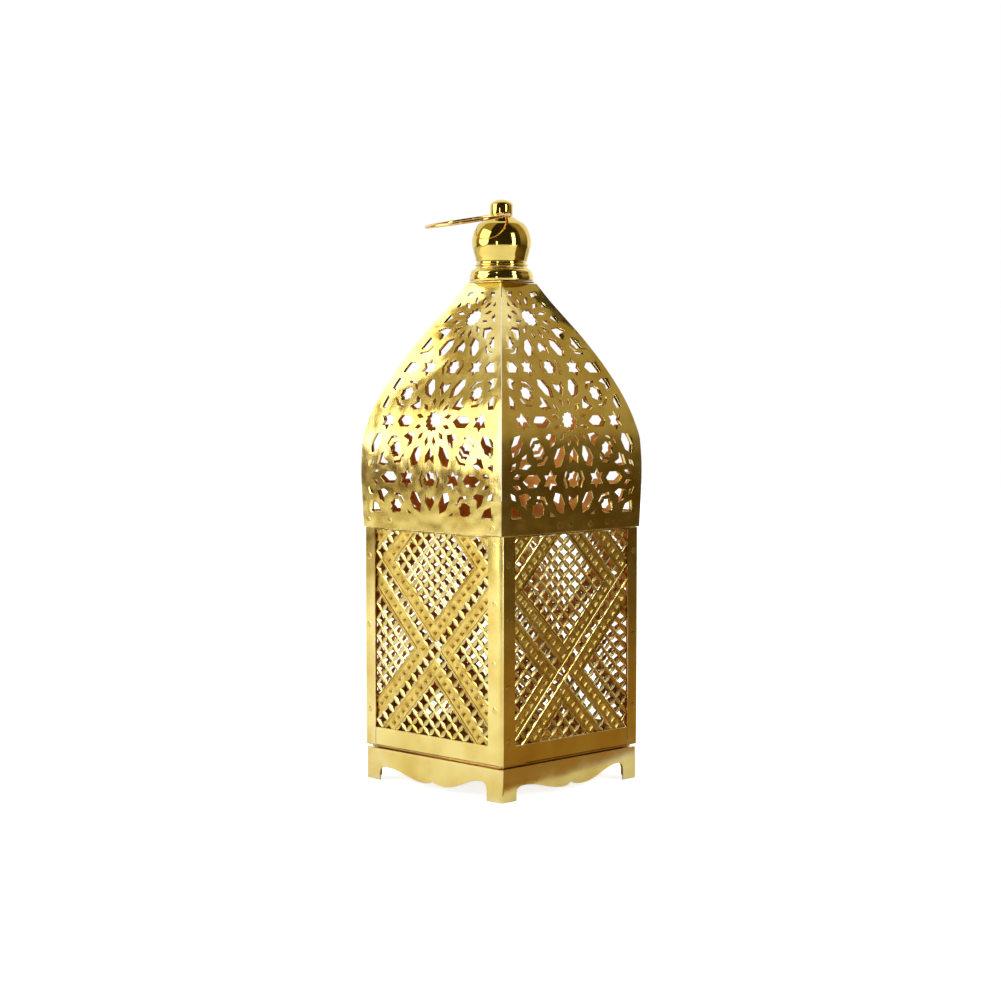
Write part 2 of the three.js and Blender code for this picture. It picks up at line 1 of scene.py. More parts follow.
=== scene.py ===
# Looks for a gold finished candle lantern of pierced sheet: square body with lattice
# windows, four-sided pierced dome, scalloped base, ball finial with a ring handle.
# Metres, +Z up. Sizes in the dictionaries are in millimetres.

import bpy
import math
from mathutils import Matrix, Vector


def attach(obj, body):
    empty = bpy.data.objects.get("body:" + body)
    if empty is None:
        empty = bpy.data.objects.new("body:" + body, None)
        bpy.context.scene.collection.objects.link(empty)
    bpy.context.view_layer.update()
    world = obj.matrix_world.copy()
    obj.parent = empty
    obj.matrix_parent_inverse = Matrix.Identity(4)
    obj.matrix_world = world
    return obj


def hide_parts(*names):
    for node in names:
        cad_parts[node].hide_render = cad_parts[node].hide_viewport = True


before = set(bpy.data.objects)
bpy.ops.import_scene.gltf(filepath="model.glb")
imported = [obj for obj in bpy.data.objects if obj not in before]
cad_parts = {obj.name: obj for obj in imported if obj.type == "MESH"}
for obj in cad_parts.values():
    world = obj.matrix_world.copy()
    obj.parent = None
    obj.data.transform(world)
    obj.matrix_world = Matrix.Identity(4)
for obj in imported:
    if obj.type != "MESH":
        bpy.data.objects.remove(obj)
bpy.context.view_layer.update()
mm = 0.001


# General helpers

def say(stage):
    print("lantern:", stage)


def toLinear(hexColour):
    channels = [int(hexColour[i:i + 2], 16) / 255 for i in (1, 3, 5)]
    linear = [c / 12.92 if c <= 0.04045 else ((c + 0.055) / 1.055) ** 2.4 for c in channels]
    return (*linear, 1)


def activate(*pieces):
    if bpy.context.object and bpy.context.object.mode != "OBJECT":
        bpy.ops.object.mode_set(mode="OBJECT")
    bpy.ops.object.select_all(action="DESELECT")
    for piece in pieces:
        piece.select_set(True)
    bpy.context.view_layer.objects.active = pieces[0]


def newMesh(name, points, edges=(), faces=()):
    mesh = bpy.data.meshes.new(name)
    mesh.from_pydata([Vector(p) for p in points], list(edges), list(faces))
    piece = bpy.data.objects.new(name, mesh)
    bpy.context.scene.collection.objects.link(piece)
    return piece


def joinPieces(name, pieces):
    activate(*pieces)
    if len(pieces) > 1:
        bpy.ops.object.join()
    joined = bpy.context.object
    joined.name = name
    return joined


def copyPiece(piece, name, matrix):
    copy = piece.copy()
    copy.data = piece.data.copy()
    copy.name = name
    bpy.context.scene.collection.objects.link(copy)
    copy.data.transform(matrix)
    return copy


def tidyMesh(piece, distance=0.002 * mm):
    activate(piece)
    bpy.ops.object.mode_set(mode="EDIT")
    bpy.ops.mesh.select_all(action="SELECT")
    bpy.ops.mesh.remove_doubles(threshold=distance)
    bpy.ops.mesh.normals_make_consistent(inside=False)
    bpy.ops.object.mode_set(mode="OBJECT")


def applyModifier(piece, kind, **settings):
    activate(piece)
    modifier = piece.modifiers.new(kind.title(), kind)
    for key, value in settings.items():
        setattr(modifier, key, value)
    bpy.ops.object.modifier_apply(modifier=modifier.name)


def smoothPiece(piece, degrees=32):
    activate(piece)
    bpy.ops.object.shade_smooth_by_angle(angle=math.radians(degrees))


def shift(x, y, z):
    return Matrix.Translation((x * mm, y * mm, z * mm))


def quarterTurn(count, size=4):
    return Matrix.Rotation(count * math.pi / 2, size, "Z")


def slicePiece(piece, normal, positions):
    # cuts edges across the piece so that it can follow a bend, at places in millimetres
    activate(piece)
    bpy.ops.object.mode_set(mode="EDIT")
    for position in positions:
        bpy.ops.mesh.select_all(action="SELECT")
        bpy.ops.mesh.bisect(plane_co=Vector(normal) * (position * mm), plane_no=normal)
    bpy.ops.object.mode_set(mode="OBJECT")


def trimPiece(piece, place, normal, fill):
    # removes what lies beyond a plane, on the side its normal points to
    activate(piece)
    bpy.ops.object.mode_set(mode="EDIT")
    bpy.ops.mesh.select_all(action="SELECT")
    bpy.ops.mesh.bisect(plane_co=place, plane_no=normal, use_fill=fill, clear_outer=True)
    bpy.ops.object.mode_set(mode="OBJECT")


def repeatPiece(piece, count, offset):
    applyModifier(piece, "ARRAY", count=count, use_relative_offset=False, use_constant_offset=True,
                  constant_offset_displace=[value * mm for value in offset])


def movePoints(piece, place):
    for vertex in piece.data.vertices:
        vertex.co = place(vertex.co)
    piece.data.update()


def steps(low, high, spacing):
    count = max(1, math.ceil((high - low) / spacing))
    return [low + (high - low) * i / count for i in range(count + 1)]


def finishPiece(piece, body, slot, *nodes):
    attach(piece, body)
    if nodes:
        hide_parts(*nodes)
    return piece


# Flat work: plates cut from sheet, with the cut edges broken, all in millimetres

def cutPlate(name, outline, holes, thickness, edgeBreak, rounds=0):
    thickness, edgeBreak = thickness * mm, edgeBreak * mm
    curve = bpy.data.curves.new(name, "CURVE")
    curve.dimensions = "2D"
    curve.fill_mode = "BOTH"
    curve.extrude = thickness / 2 - edgeBreak
    curve.bevel_depth = edgeBreak
    curve.bevel_resolution = rounds
    curve.offset = -edgeBreak
    for loop in [outline] + holes:
        spline = curve.splines.new("POLY")
        spline.points.add(len(loop) - 1)
        for point, (x, y) in zip(spline.points, loop):
            point.co = (x * mm, y * mm, 0, 1)
        spline.use_cyclic_u = True
    plate = bpy.data.objects.new(name, curve)
    bpy.context.scene.collection.objects.link(plate)
    activate(plate)
    bpy.ops.object.convert(target="MESH")
    plate = bpy.context.object
    tidyMesh(plate)
    return plate


def arcPoints(centre, radius, start, end, count):
    points = []
    for i in range(count + 1):
        angle = math.radians(start + (end - start) * i / count)
        points.append((centre[0] + radius * math.cos(angle), centre[1] + radius * math.sin(angle)))
    return points


def roundHole(radius):
    return arcPoints((0, 0), radius, 0, 360, 32)[-2::-1]


def roundedSquare(half, radius, count=6):
    inner = half - radius
    points = []
    corners = [(inner, inner), (-inner, inner), (-inner, -inner), (inner, -inner)]
    for quarter, corner in enumerate(corners):
        points += arcPoints(corner, radius, 90 * quarter, 90 * quarter + 90, count)
    return points


def wrapRoundSquare(t, half, radius):
    # place and outward direction at length t along a rounded square, from the middle of -Y
    straight = 2 * (half - radius)
    arc = math.pi / 2 * radius
    side, along = divmod(t + straight / 2, straight + arc)
    if along <= straight:
        point, out = Vector((along - straight / 2, -half, 0)), Vector((0, -1, 0))
    else:
        turn = (along - straight) / radius
        out = Vector((math.sin(turn), -math.cos(turn), 0))
        point = Vector((straight / 2, -straight / 2, 0)) + radius * out
    rotation = quarterTurn(side, 3)
    return rotation @ point, rotation @ out


def wrapPlate(plate, half, radius, sheet):
    # bends a flat plate round a rounded square, its outer face at half
    def bend(co):
        point, out = wrapRoundSquare(co.x / mm, half, radius)
        return (point + out * (co.z / mm - sheet / 2)) * mm + Vector((0, 0, co.y))

    movePoints(plate, bend)


# Turned work: a profile of (radius, height) in millimetres, spun round the Z axis

def turnedPiece(name, profile, count=96):
    points = [(radius * mm, 0, height * mm) for radius, height in profile]
    edges = [(i, i + 1) for i in range(len(points) - 1)]
    piece = newMesh(name, points, edges)
    activate(piece)
    bpy.ops.object.mode_set(mode="EDIT")
    bpy.ops.mesh.select_all(action="SELECT")
    bpy.ops.mesh.spin(steps=count, angle=2 * math.pi, center=(0, 0, 0), axis=(0, 0, 1))
    bpy.ops.object.mode_set(mode="OBJECT")
    tidyMesh(piece)
    smoothPiece(piece, 35)
    return piece


# Camera: the photograph's viewing angle

cameraSpot = {
    "distance": 1182, "height": 223, "pitch": 3.49, "azimuth": 45, "yaw": 0.026,
    "lens": 78.8, "sensor": 36, "clipStart": 0.01,
}


def placeCamera():
    spot = cameraSpot
    data = bpy.data.cameras.new("photoCamera")
    data.lens = spot["lens"]
    data.sensor_width = spot["sensor"]
    data.clip_start = spot["clipStart"]
    camera = bpy.data.objects.new("photoCamera", data)
    angle = math.radians(spot["azimuth"])
    away = spot["distance"] * mm
    camera.location = (away * math.sin(angle), -away * math.cos(angle), spot["height"] * mm)
    camera.rotation_euler = (math.radians(90 - spot["pitch"]), 0, angle + math.radians(spot["yaw"]))
    bpy.context.scene.collection.objects.link(camera)
    bpy.context.scene.camera = camera


# Materials: small helpers for their nodes, then every metal finish

def setInputs(node, inputs):
    # each input takes a value or another node's output
    for socket, value in inputs.items():
        if isinstance(value, bpy.types.NodeSocket):
            node.id_data.links.new(value, node.inputs[socket])
        else:
            node.inputs[socket].default_value = value


def addNode(material, kind, inputs=None, **settings):
    node = material.node_tree.nodes.new(kind)
    for key, value in settings.items():
        setattr(node, key, value)
    setInputs(node, inputs or {})
    return node


def newMaterial(name):
    material = bpy.data.materials.new(name)
    material.use_nodes = True
    return material, material.node_tree.nodes["Principled BSDF"]


def mapRange(material, value, limits, results=(0, 1)):
    return addNode(material, "ShaderNodeMapRange", {
        "Value": value, "From Min": limits[0], "From Max": limits[1],
        "To Min": results[0], "To Max": results[1]}).outputs["Result"]


def mixTones(material, share, first, last):
    return addNode(material, "ShaderNodeMix", {"Factor": share, 6: first, 7: last},
                   data_type="RGBA").outputs[2]


# Every gold here is a thin brass coloured plating over sheet iron. It mirrors softly: the
# sheet's rolling leaves slow waves, and handling leaves a faint cloud in the gloss. Wave and
# grain are spacings in millimetres; both are drawn coarser than real so that they show.
metalFinishes = {
    # cold rolled and plated: a soft mirror that bends what it reflects, paler on the folds
    "brassPlatedSheet": {
        "tone": "#F5E18E", "deep": "#E2C468", "gloss": (0.1, 0.2), "wave": 16, "waveHeight": 0.24,
        "grain": 0.5, "grainHeight": 0.012, "rolling": 0.025, "rubbed": 0.5,
    },
    # the same sheet, buffed after bending: brighter, with stronger waves and clouds
    "brassPlatedDome": {
        "tone": "#F5E18E", "deep": "#E2C468", "gloss": (0.07, 0.19), "wave": 12, "waveHeight": 0.3,
        "grain": 0.5, "grainHeight": 0.012, "rolling": 0.025, "rubbed": 0.5,
    },
    # pressed grille: raised leaves and rails that glint along their crests
    "pressedLatticeBrass": {
        "tone": "#EAD88E", "deep": "#D2B45C", "gloss": (0.14, 0.26), "wave": 9, "waveHeight": 0.06,
        "grain": 0.4, "grainHeight": 0.015,
    },
    # flat bands of the grille: a darker yellow as painted shade for the tilted dimple facets,
    # slightly uneven round the dimples
    "fieldBrassPaintedShade": {
        "tone": "#E8CD70", "deep": "#C4A048", "gloss": (0.26, 0.4), "wave": 4, "waveHeight": 0.1,
        "grain": 0.4, "grainHeight": 0.02,
    },
    # spun, polished and then plated: a clear mirror with hardly any grain
    "polishedBrassPlate": {
        "tone": "#EFD878", "deep": "#DFC05E", "gloss": (0.04, 0.1), "wave": 14, "waveHeight": 0.01,
        "grain": 0.4, "grainHeight": 0.002,
    },
    # drawn wire: mirror bright in a redder gold
    "drawnWireBrass": {
        "tone": "#EEC97C", "deep": "#CF9648", "gloss": (0.03, 0.08), "wave": 6, "waveHeight": 0.02,
        "grain": 0.3, "grainHeight": 0.006,
    },
    # back of the grille: the same gold, painted a dull red brown as painted reflection of light
    # bounced inside the lantern; it fills the far openings
    "paintedBounceLatticeBack": {
        "tone": "#D68A42", "deep": "#9C5C28", "gloss": (0.3, 0.45), "wave": 9, "waveHeight": 0.06,
        "grain": 0.5, "grainHeight": 0.02,
    },
    # inside of the sheet: the same gold, painted a dull orange as painted reflection of light
    # bounced between the walls; it shows through the piercing
    "paintedBounceInsideBrass": {
        "tone": "#F0B05C", "deep": "#CC8844", "gloss": (0.24, 0.42), "wave": 15, "waveHeight": 0.2,
        "grain": 0.5, "grainHeight": 0.02,
    },
    # stud, washer and nut: a cool grey with a faint bloom
    "zincPlatedSteel": {
        "tone": "#B4B0A6", "deep": "#8F8A7E", "gloss": (0.25, 0.4), "wave": 8, "waveHeight": 0.02,
        "grain": 0.3, "grainHeight": 0.01,
    },
}


# rolling lines lie this far apart and run this far up the sheet; clouds and smears are so
# many waves across; the sharpest edges are rubbed to a paler tone
sheetMarks = {
    "lineSpacing": 2.4, "lineLength": 50, "cloud": 1.6, "clouding": (0.32, 0.6), "smear": 0.5,
    "smearing": (0.3, 0.7), "edge": (0.52, 0.62), "rubbedTone": "#F8EEC4",
}


def platedMetal(name):
    finish, marks = metalFinishes[name], sheetMarks
    material, shader = newMaterial(name)
    place = addNode(material, "ShaderNodeTexCoord").outputs["Object"]

    def noise(spacing, detail):
        return addNode(material, "ShaderNodeTexNoise", {
            "Vector": place, "Scale": 1 / (spacing * mm), "Detail": detail}).outputs["Fac"]

    def relief(pattern, height, below):
        inputs = {"Height": pattern, "Distance": height * mm, "Strength": 1}
        if below:
            inputs["Normal"] = below
        return addNode(material, "ShaderNodeBump", inputs).outputs["Normal"]

    tint = addNode(material, "ShaderNodeValToRGB", {
        "Fac": noise(finish["wave"] * marks["cloud"], 4)})
    for stop, position, tone in zip(tint.color_ramp.elements, marks["clouding"], ("deep", "tone")):
        stop.position = position
        stop.color = toLinear(finish[tone])
    form = addNode(material, "ShaderNodeNewGeometry")
    edge = mapRange(material, form.outputs["Pointiness"], marks["edge"],
                    (0, finish.get("rubbed", 0)))
    smears = noise(finish["wave"] * marks["smear"], 6)
    across, along = 1 / (marks["lineSpacing"] * mm), 1 / (marks["lineLength"] * mm)
    stretch = addNode(material, "ShaderNodeMapping", {
        "Vector": place, "Scale": (across, across, along)})
    lines = addNode(material, "ShaderNodeTexNoise", {
        "Vector": stretch.outputs["Vector"], "Scale": 1, "Detail": 3})
    surface = None
    for pattern, height in ((lines.outputs["Fac"], finish.get("rolling", 0)),
                            (noise(finish["wave"], 1), finish["waveHeight"]),
                            (noise(finish["grain"], 3), finish["grainHeight"])):
        surface = relief(pattern, height, surface)
    setInputs(shader, {
        "Metallic": 1, "Normal": surface,
        "Base Color": mixTones(material, edge, tint.outputs["Color"],
                               toLinear(marks["rubbedTone"])),
        "Roughness": mapRange(material, smears, marks["smearing"], finish["gloss"])})
    return material


materials = {name: platedMetal(name) for name in metalFinishes}


def dress(piece, outside, inside=None, isInside=None):
    piece.data.materials.clear()
    piece.data.materials.append(materials[outside])
    if inside:
        piece.data.materials.append(materials[inside])
        for face in piece.data.polygons:
            face.material_index = 1 if isInside(face.center, face.normal) else 0


def facesAxis(centre, normal):
    # a face on the inner side of the lantern's walls, which takes the painted orange bounce
    flat = Vector((centre.x, centre.y, 0))
    return normal.dot(flat) < -0.3 * flat.length


# Base

baseSkirt = {
    "half": 52.1, "height": 17.1, "sheet": 0.8, "fold": 2, "footEdge": 41, "edgeBreak": 0.12,
    "leftPeak": 7.5, "belly": 2.8, "cusp": 4.8, "rightPeak": 9.7, "flange": 4, "sliceEvery": 8,
}


def bezierPoints(start, first, second, end, count):
    points = []
    for i in range(1, count + 1):
        t = i / count
        weights = ((1 - t) ** 3, 3 * t * (1 - t) ** 2, 3 * t * t * (1 - t), t ** 3)
        points.append(tuple(
            sum(w * p[k] for w, p in zip(weights, (start, first, second, end))) for k in (0, 1)))
    return points


def apronEdge(foot, size):
    # the wavy lower edge between two feet, from left to right
    left, right = size["leftPeak"], size["rightPeak"]
    belly, cusp = size["belly"], size["cusp"]
    curves = [
        [(-1, 0.8 * left), (-0.97, left), (-0.86, left), 8],
        [(-0.6, left), (-0.4, belly), (-0.15, belly), 18],
        [(-0.08, belly), (-0.03, 0.7 * cusp), (0, cusp), 6],
        [(0.04, 0.7 * cusp), (0.12, belly), (0.22, belly), 8],
        [(0.5, belly + 0.4), (0.66, right), (0.9, right), 20],
        [(0.98, right), (1, 0.8 * right), (1, 0.4 * right), 8],
    ]
    points = [(-foot, 0), (-foot, 0.4 * left)]
    for *controls, count in curves:
        points += bezierPoints(points[-1], *[(x * foot, z) for x, z in controls], count)
    return points + [(foot, 0)]


def makeBaseSkirt():
    size = baseSkirt
    half, fold = size["half"], size["fold"]
    side = 2 * (half - fold) + math.pi / 2 * fold
    start, end = -side / 2, 3.5 * side
    outline = [(start, 0)]
    for i in range(4):
        outline += [(x + i * side, z) for x, z in apronEdge(size["footEdge"], size)]
    outline += [(end, 0), (end, size["height"]), (start, size["height"])]
    wall = cutPlate("skirtWall", outline, [], size["sheet"], size["edgeBreak"])
    corners = [(i + 0.5) * side for i in range(4)]
    reach = math.pi / 4 * fold
    cuts = [c + d * reach / 4 for c in corners for d in range(-4, 5)]
    cuts += [c - side + d * size["sliceEvery"] for c in corners for d in range(1, 12)]
    slicePiece(wall, (1, 0, 0), cuts)
    wrapPlate(wall, half, fold, size["sheet"])
    inner = roundedSquare(half - size["flange"], 0.6)[::-1]
    flange = cutPlate("skirtFlange", roundedSquare(half - 0.1, fold), [inner], size["sheet"],
                      size["edgeBreak"])
    flange.data.transform(shift(0, 0, size["height"] - size["sheet"] / 2))
    skirt = joinPieces("baseSkirt", [wall, flange])
    tidyMesh(skirt)
    smoothPiece(skirt)
    # the inner faces take the painted orange bounce, painted reflection between the gold walls
    dress(skirt, "brassPlatedSheet", "paintedBounceInsideBrass", facesAxis)
    finishPiece(skirt, "base", "satin_gold", "base_skirt")


baseTray = {
    "floorHalf": 51, "floorBottom": 15.2, "floorTop": 16, "neckHalf": 47.8, "neckTop": 22.5,
    "beadHalf": 50, "beadBottom": 17.4, "beadTop": 18.4, "beadRound": 0.48, "beadOverlap": 0.2,
    "sheet": 0.8, "fold": 2, "edgeBreak": 0.12,
}


def flatSquare(name, half, radius, bottom, top, edgeBreak, rounds=0, hole=None):
    plate = cutPlate(name, roundedSquare(half, radius), [hole] if hole else [], top - bottom,
                     edgeBreak, rounds)
    plate.data.transform(shift(0, 0, (top + bottom) / 2))
    return plate


def makeBaseTray():
    size = baseTray
    half, fold, sheet = size["neckHalf"], size["fold"], size["sheet"]
    floor = flatSquare("trayFloor", size["floorHalf"], fold, size["floorBottom"],
                       size["floorTop"], size["edgeBreak"])
    neck = flatSquare("trayNeck", half, fold, size["floorBottom"], size["neckTop"],
                      size["edgeBreak"], 2, roundedSquare(half - sheet, fold - sheet)[::-1])
    overlap = sheet - size["beadOverlap"]
    bead = flatSquare("trayBead", size["beadHalf"], fold, size["beadBottom"], size["beadTop"],
                      size["beadRound"], 4, roundedSquare(half - overlap, fold - sheet)[::-1])
    tray = joinPieces("baseTray", [floor, neck, bead])
    smoothPiece(tray)
    # the neck and the bead take the painted orange bounce too: a painted reflection that shows in
    # the seam under the body
    outer = (size["beadHalf"] - 2) * mm

    def unseen(centre, normal):
        return facesAxis(centre, normal) or max(abs(centre.x), abs(centre.y)) > outer

    dress(tray, "brassPlatedSheet", "paintedBounceInsideBrass", unseen)
    finishPiece(tray, "base", "satin_gold", "base_tray")


candleCup = {"bore": 20.5, "sheet": 0.8, "bottom": 16, "top": 30}


def makeCandleCup():
    # a plain pressed cup with its lip rolled over
    cup = candleCup
    inner, outer = cup["bore"], cup["bore"] + cup["sheet"]
    bottom, top, sheet = cup["bottom"], cup["top"], cup["sheet"]
    profile = [(0, bottom), (outer - 1.2, bottom), (outer - 0.4, bottom + 0.25),
               (outer, bottom + 1)]
    profile += arcPoints((outer - sheet / 2, top - sheet / 2), sheet / 2, 0, 180, 6)
    profile += [(inner, bottom + sheet + 0.8), (inner - 0.5, bottom + sheet + 0.15),
                (inner - 1.2, bottom + sheet), (0, bottom + sheet)]
    piece = turnedPiece("candleCup", profile)
    dress(piece, "pressedLatticeBrass")
    finishPiece(piece, "base", "pale_gold", "candle_cup")


# Body: sheet folded round the corners, with the windows cut out of it, an inward lip at
# the foot and a stepped-in rail that carries the dome

bodyFrame = {
    "half": 52.5, "sheet": 0.8, "fold": 2, "edgeBreak": 0.12, "bottom": 18.7, "top": 136.7,
    "legEnd": -43.6, "windowEdge": 42.5, "windowBottom": 28.7, "windowTop": 135.9,
    "windowRound": 0.5, "postStart": 43.9, "lip": 4.3, "railHalf": 51.7, "railBottom": 135.9,
    "railTop": 146, "sliceEvery": 8,
}


def aroundCorner(place, half, fold):
    # length along the sheet at a place measured from the middle of +X, from the middle of -Y
    return 2 * (half - fold) + math.pi / 2 * fold + place


def wrapSheet(plate, half, fold, sheet):
    reach = half - fold
    far, spacing = -bodyFrame["legEnd"] + 0.4, bodyFrame["sliceEvery"]
    cuts = [reach + i * math.pi / 12 * fold for i in range(7)]
    cuts += steps(-far, reach, spacing)[1:-1]
    cuts += [aroundCorner(y, half, fold) for y in steps(-reach, far, spacing)[1:-1]]
    slicePiece(plate, (1, 0, 0), cuts)
    wrapPlate(plate, half, fold, sheet)


def softCorners(points, radius):
    # rounds the corners of an outline by a short chamfer of three points
    softened = []
    for before, here, after in zip(points[-1:] + points[:-1], points, points[1:] + points[:1]):
        a, b, c = Vector(before), Vector(here), Vector(after)
        reach = min(radius, (a - b).length / 3, (c - b).length / 3)
        first = b + (a - b).normalized() * reach
        last = b + (c - b).normalized() * reach
        softened += [tuple(first), tuple(b * 0.35 + (first + last) * 0.325), tuple(last)]
    return softened


def foldedSheet(name, start, window):
    size = bodyFrame
    half, fold, sheet = size["half"], size["fold"], size["sheet"]
    end = aroundCorner(-start, half, fold)
    low, high = size["bottom"], size["top"]
    if window:
        left, right = size["windowEdge"], aroundCorner(-size["windowEdge"], half, fold)
        sill, head = size["windowBottom"], size["windowTop"]
        outline = [(start, low), (end, low), (end, sill), (right, sill), (right, head),
                   (end, head), (end, high), (start, high), (start, head), (left, head),
                   (left, sill), (start, sill)]
    else:
        outline = [(start, low), (end, low), (end, high), (start, high)]
    wall = cutPlate(name + "Wall", softCorners(outline, size["windowRound"]), [], sheet,
                    size["edgeBreak"])
    wrapSheet(wall, half, fold, sheet)
    railHalf, railFold = size["railHalf"], fold - sheet
    railEnd = aroundCorner(-start, railHalf, railFold)
    outline = [(start, size["railBottom"]), (railEnd, size["railBottom"]),
               (railEnd, size["railTop"]), (start, size["railTop"])]
    rail = cutPlate(name + "Rail", outline, [], sheet, size["edgeBreak"])
    wrapSheet(rail, railHalf, railFold, sheet)
    centre, inner = half - fold, half - size["lip"]
    outline = [(start, -half)] + arcPoints((centre, -centre), fold, -90, 0, 6)
    outline += [(half, -start), (inner, -start), (inner, -inner), (start, -inner)]
    lip = cutPlate(name + "Lip", outline, [], sheet, size["edgeBreak"])
    lip.data.transform(shift(0, 0, low + sheet / 2))
    folded = joinPieces(name, [wall, rail, lip])
    tidyMesh(folded)
    smoothPiece(folded)
    # the inner faces take the painted orange bounce, painted reflection between the gold walls
    dress(folded, "brassPlatedSheet", "paintedBounceInsideBrass", facesAxis)
    return folded


def makeBody():
    frontFrame = foldedSheet("bodyFrameFront", bodyFrame["legEnd"], True)
    rearFrame = copyPiece(frontFrame, "bodyFrameRear", quarterTurn(2))
    finishPiece(frontFrame, "lantern", "satin_gold", "body_frame_front")
    finishPiece(rearFrame, "lantern", "satin_gold", "body_frame_rear")
    post = foldedSheet("cornerPost", bodyFrame["postStart"], False)
    for name, turns in (("Right", 1), ("Left", -1)):
        turned = copyPiece(post, "cornerPost" + name, quarterTurn(turns))
        finishPiece(turned, "lantern", "satin_gold", "corner_post_" + name.lower())
    bpy.data.objects.remove(post)


# Weld spots that hold the sheets together, pressed into low round buttons: for each side
# of the body and of the dome's lower band, place along the face and height

weldSpots = {
    "radius": 1.9, "rise": 0.07,
    "front": [(47.2, 132), (47.6, 102), (47, 71), (47.5, 47.5), (-48.2, 121), (-48.5, 84),
              (-48, 38)],
    "right": [(-47.3, 122), (-47, 94), (-47.5, 59), (-47.2, 31), (48.3, 79), (48, 40),
              (48.4, 124)],
    "bandHalf": 52.92, "bandFront": [(-48.5, 141), (-31.5, 141.5), (46.5, 140.8)],
    "bandRight": [(-10.5, 140.6), (-1, 141), (13.5, 140.6), (26.5, 141)],
}


def makeWeldSpots():
    rise, wide = weldSpots["rise"], weldSpots["radius"]
    profile = [(0, rise * 0.5), (wide * 0.3, rise * 0.8), (wide * 0.55, rise),
               (wide * 0.8, rise * 0.5), (wide, -0.06), (0, -0.06)]
    spot = turnedPiece("weldSpot", profile, 24)
    spot.data.transform(Matrix.Rotation(math.pi / 2, 4, "X"))
    spots = []
    for turns in range(4):
        side = "front" if turns % 2 == 0 else "right"
        rows = ((side, bodyFrame["half"]), ("band" + side.title(), weldSpots["bandHalf"]))
        for row, half in rows:
            for x, z in weldSpots[row]:
                place = quarterTurn(turns) @ shift(x, -half, z)
                spots.append(copyPiece(spot, "weldSpot", place))
    bpy.data.objects.remove(spot)
    joined = joinPieces("weldSpots", spots)
    dress(joined, "pressedLatticeBrass")
    finishPiece(joined, "lantern", "satin_gold")


# Windows: pressed grille with crossing bands. It is laid out square to the bands, from the
# middle of one crossing to the next, repeated, then turned by 45 degrees and trimmed.

latticeShape = {
    "period": 64.5, "cell": 6.2, "cellHole": (2.5, 1.8), "bumpRise": 0.42, "nodeRise": 0.26,
    "bandCell": (6.45, 5.8), "bandHole": (2.4, 1.7), "blockStart": 10.55, "flank": (2.9, 10.3),
    "flankPitch": 5.05, "flankHole": 6.9, "firstHole": 7, "fieldRise": 0.12, "dimple": -1.1,
    "dimpleHalf": 1.55, "dimpleEdge": 0.2, "holeHalf": 0.28, "railGap": 0.4, "railReach": 100,
    "leafCrests": ((0.22, 0.9), (0.6, 0.7)), "cornerHole": 6.6, "railOverlap": 0.1,
    "sheet": 0.4, "halfWidth": 48.4, "bottom": 21, "top": 135.6, "face": 50.9,
    "frontCrossing": (1.6, 74.2), "sideCrossing": (-5.6, 63),
}
# rails between the bands and round each block: across, height
innerRail = [
    (-0.45, -0.4), (0.45, -0.4), (0.45, 0.3), (0.34, 0.52), (0.16, 0.62), (-0.16, 0.62),
    (-0.34, 0.52), (-0.45, 0.3),
]
outerRail = [
    (-0.8, -0.4), (0.8, -0.4), (0.8, 0.3), (0.66, 0.56), (0.34, 0.56), (0.12, 0.2), (-0.12, 0.2),
    (-0.34, 0.56), (-0.66, 0.56), (-0.8, 0.3),
]


squareCorners = [(-1, -1), (1, -1), (1, 1), (-1, 1)]


def ringCell(name, loops):
    # quads between closed loops that have the same number of corners
    count = len(loops[0])
    points = [(x * mm, y * mm, z * mm) for loop in loops for x, y, z in loop]
    faces = []
    for ring in range(len(loops) - 1):
        for i in range(count):
            a, b = ring * count + i, ring * count + (i + 1) % count
            faces.append((a, b, b + count, a + count))
    return newMesh(name, points, (), faces)


def blendLoops(first, last, share):
    return [tuple(p + share * (q - p) for p, q in zip(a, b)) for a, b in zip(first, last)]


def starCell(name, width, depth, hole, spot):
    # four leaves round a four-pointed opening, highest where the leaves cross an edge, and
    # falling over two crests, each a share of the way in and a share of the height
    shape = latticeShape
    corner, waist = hole
    x, y = width / 2, depth / 2
    node, bump = shape["nodeRise"], shape["bumpRise"]
    outer = [(x, y, node), (0, y, bump), (-x, y, node), (-x, 0, bump),
             (-x, -y, node), (0, -y, bump), (x, -y, node), (x, 0, bump)]
    inner = [(corner, corner, 0), (0, waist, 0), (-corner, corner, 0), (-waist, 0, 0),
             (-corner, -corner, 0), (0, -waist, 0), (corner, -corner, 0), (waist, 0, 0)]
    crests = [[(px, py, pz * height) for px, py, pz in blendLoops(outer, inner, share)]
              for share, height in shape["leafCrests"]]
    return ringCell(name, [[(px + spot[0], py + spot[1], pz) for px, py, pz in loop]
                           for loop in (outer, *crests, inner)])


def dimpleCell(name, low, high, hole):
    # flat field with a steep four-sided dimple and a small square hole at its bottom
    shape = latticeShape
    (x0, y0), (x1, y1) = low, high
    x, y = hole
    wide, rise = shape["dimpleHalf"], shape["fieldRise"]
    loops = [[(x0, y0, rise), (x1, y0, rise), (x1, y1, rise), (x0, y1, rise)]]
    sizes = ((wide, rise), (wide - shape["dimpleEdge"], 0), (shape["holeHalf"], shape["dimple"]))
    for half, z in sizes:
        loops.append([(x + half * sx, y + half * sy, z) for sx, sy in squareCorners])
    return ringCell(name, loops)


def quarterTurns(piece, name):
    # the piece and its three copies turned about the middle of the pattern
    middle = latticeShape["period"] / 2
    centre = shift(middle, middle, 0)
    return [piece] + [copyPiece(piece, name, centre @ quarterTurn(i) @ centre.inverted())
                      for i in range(1, 4)]


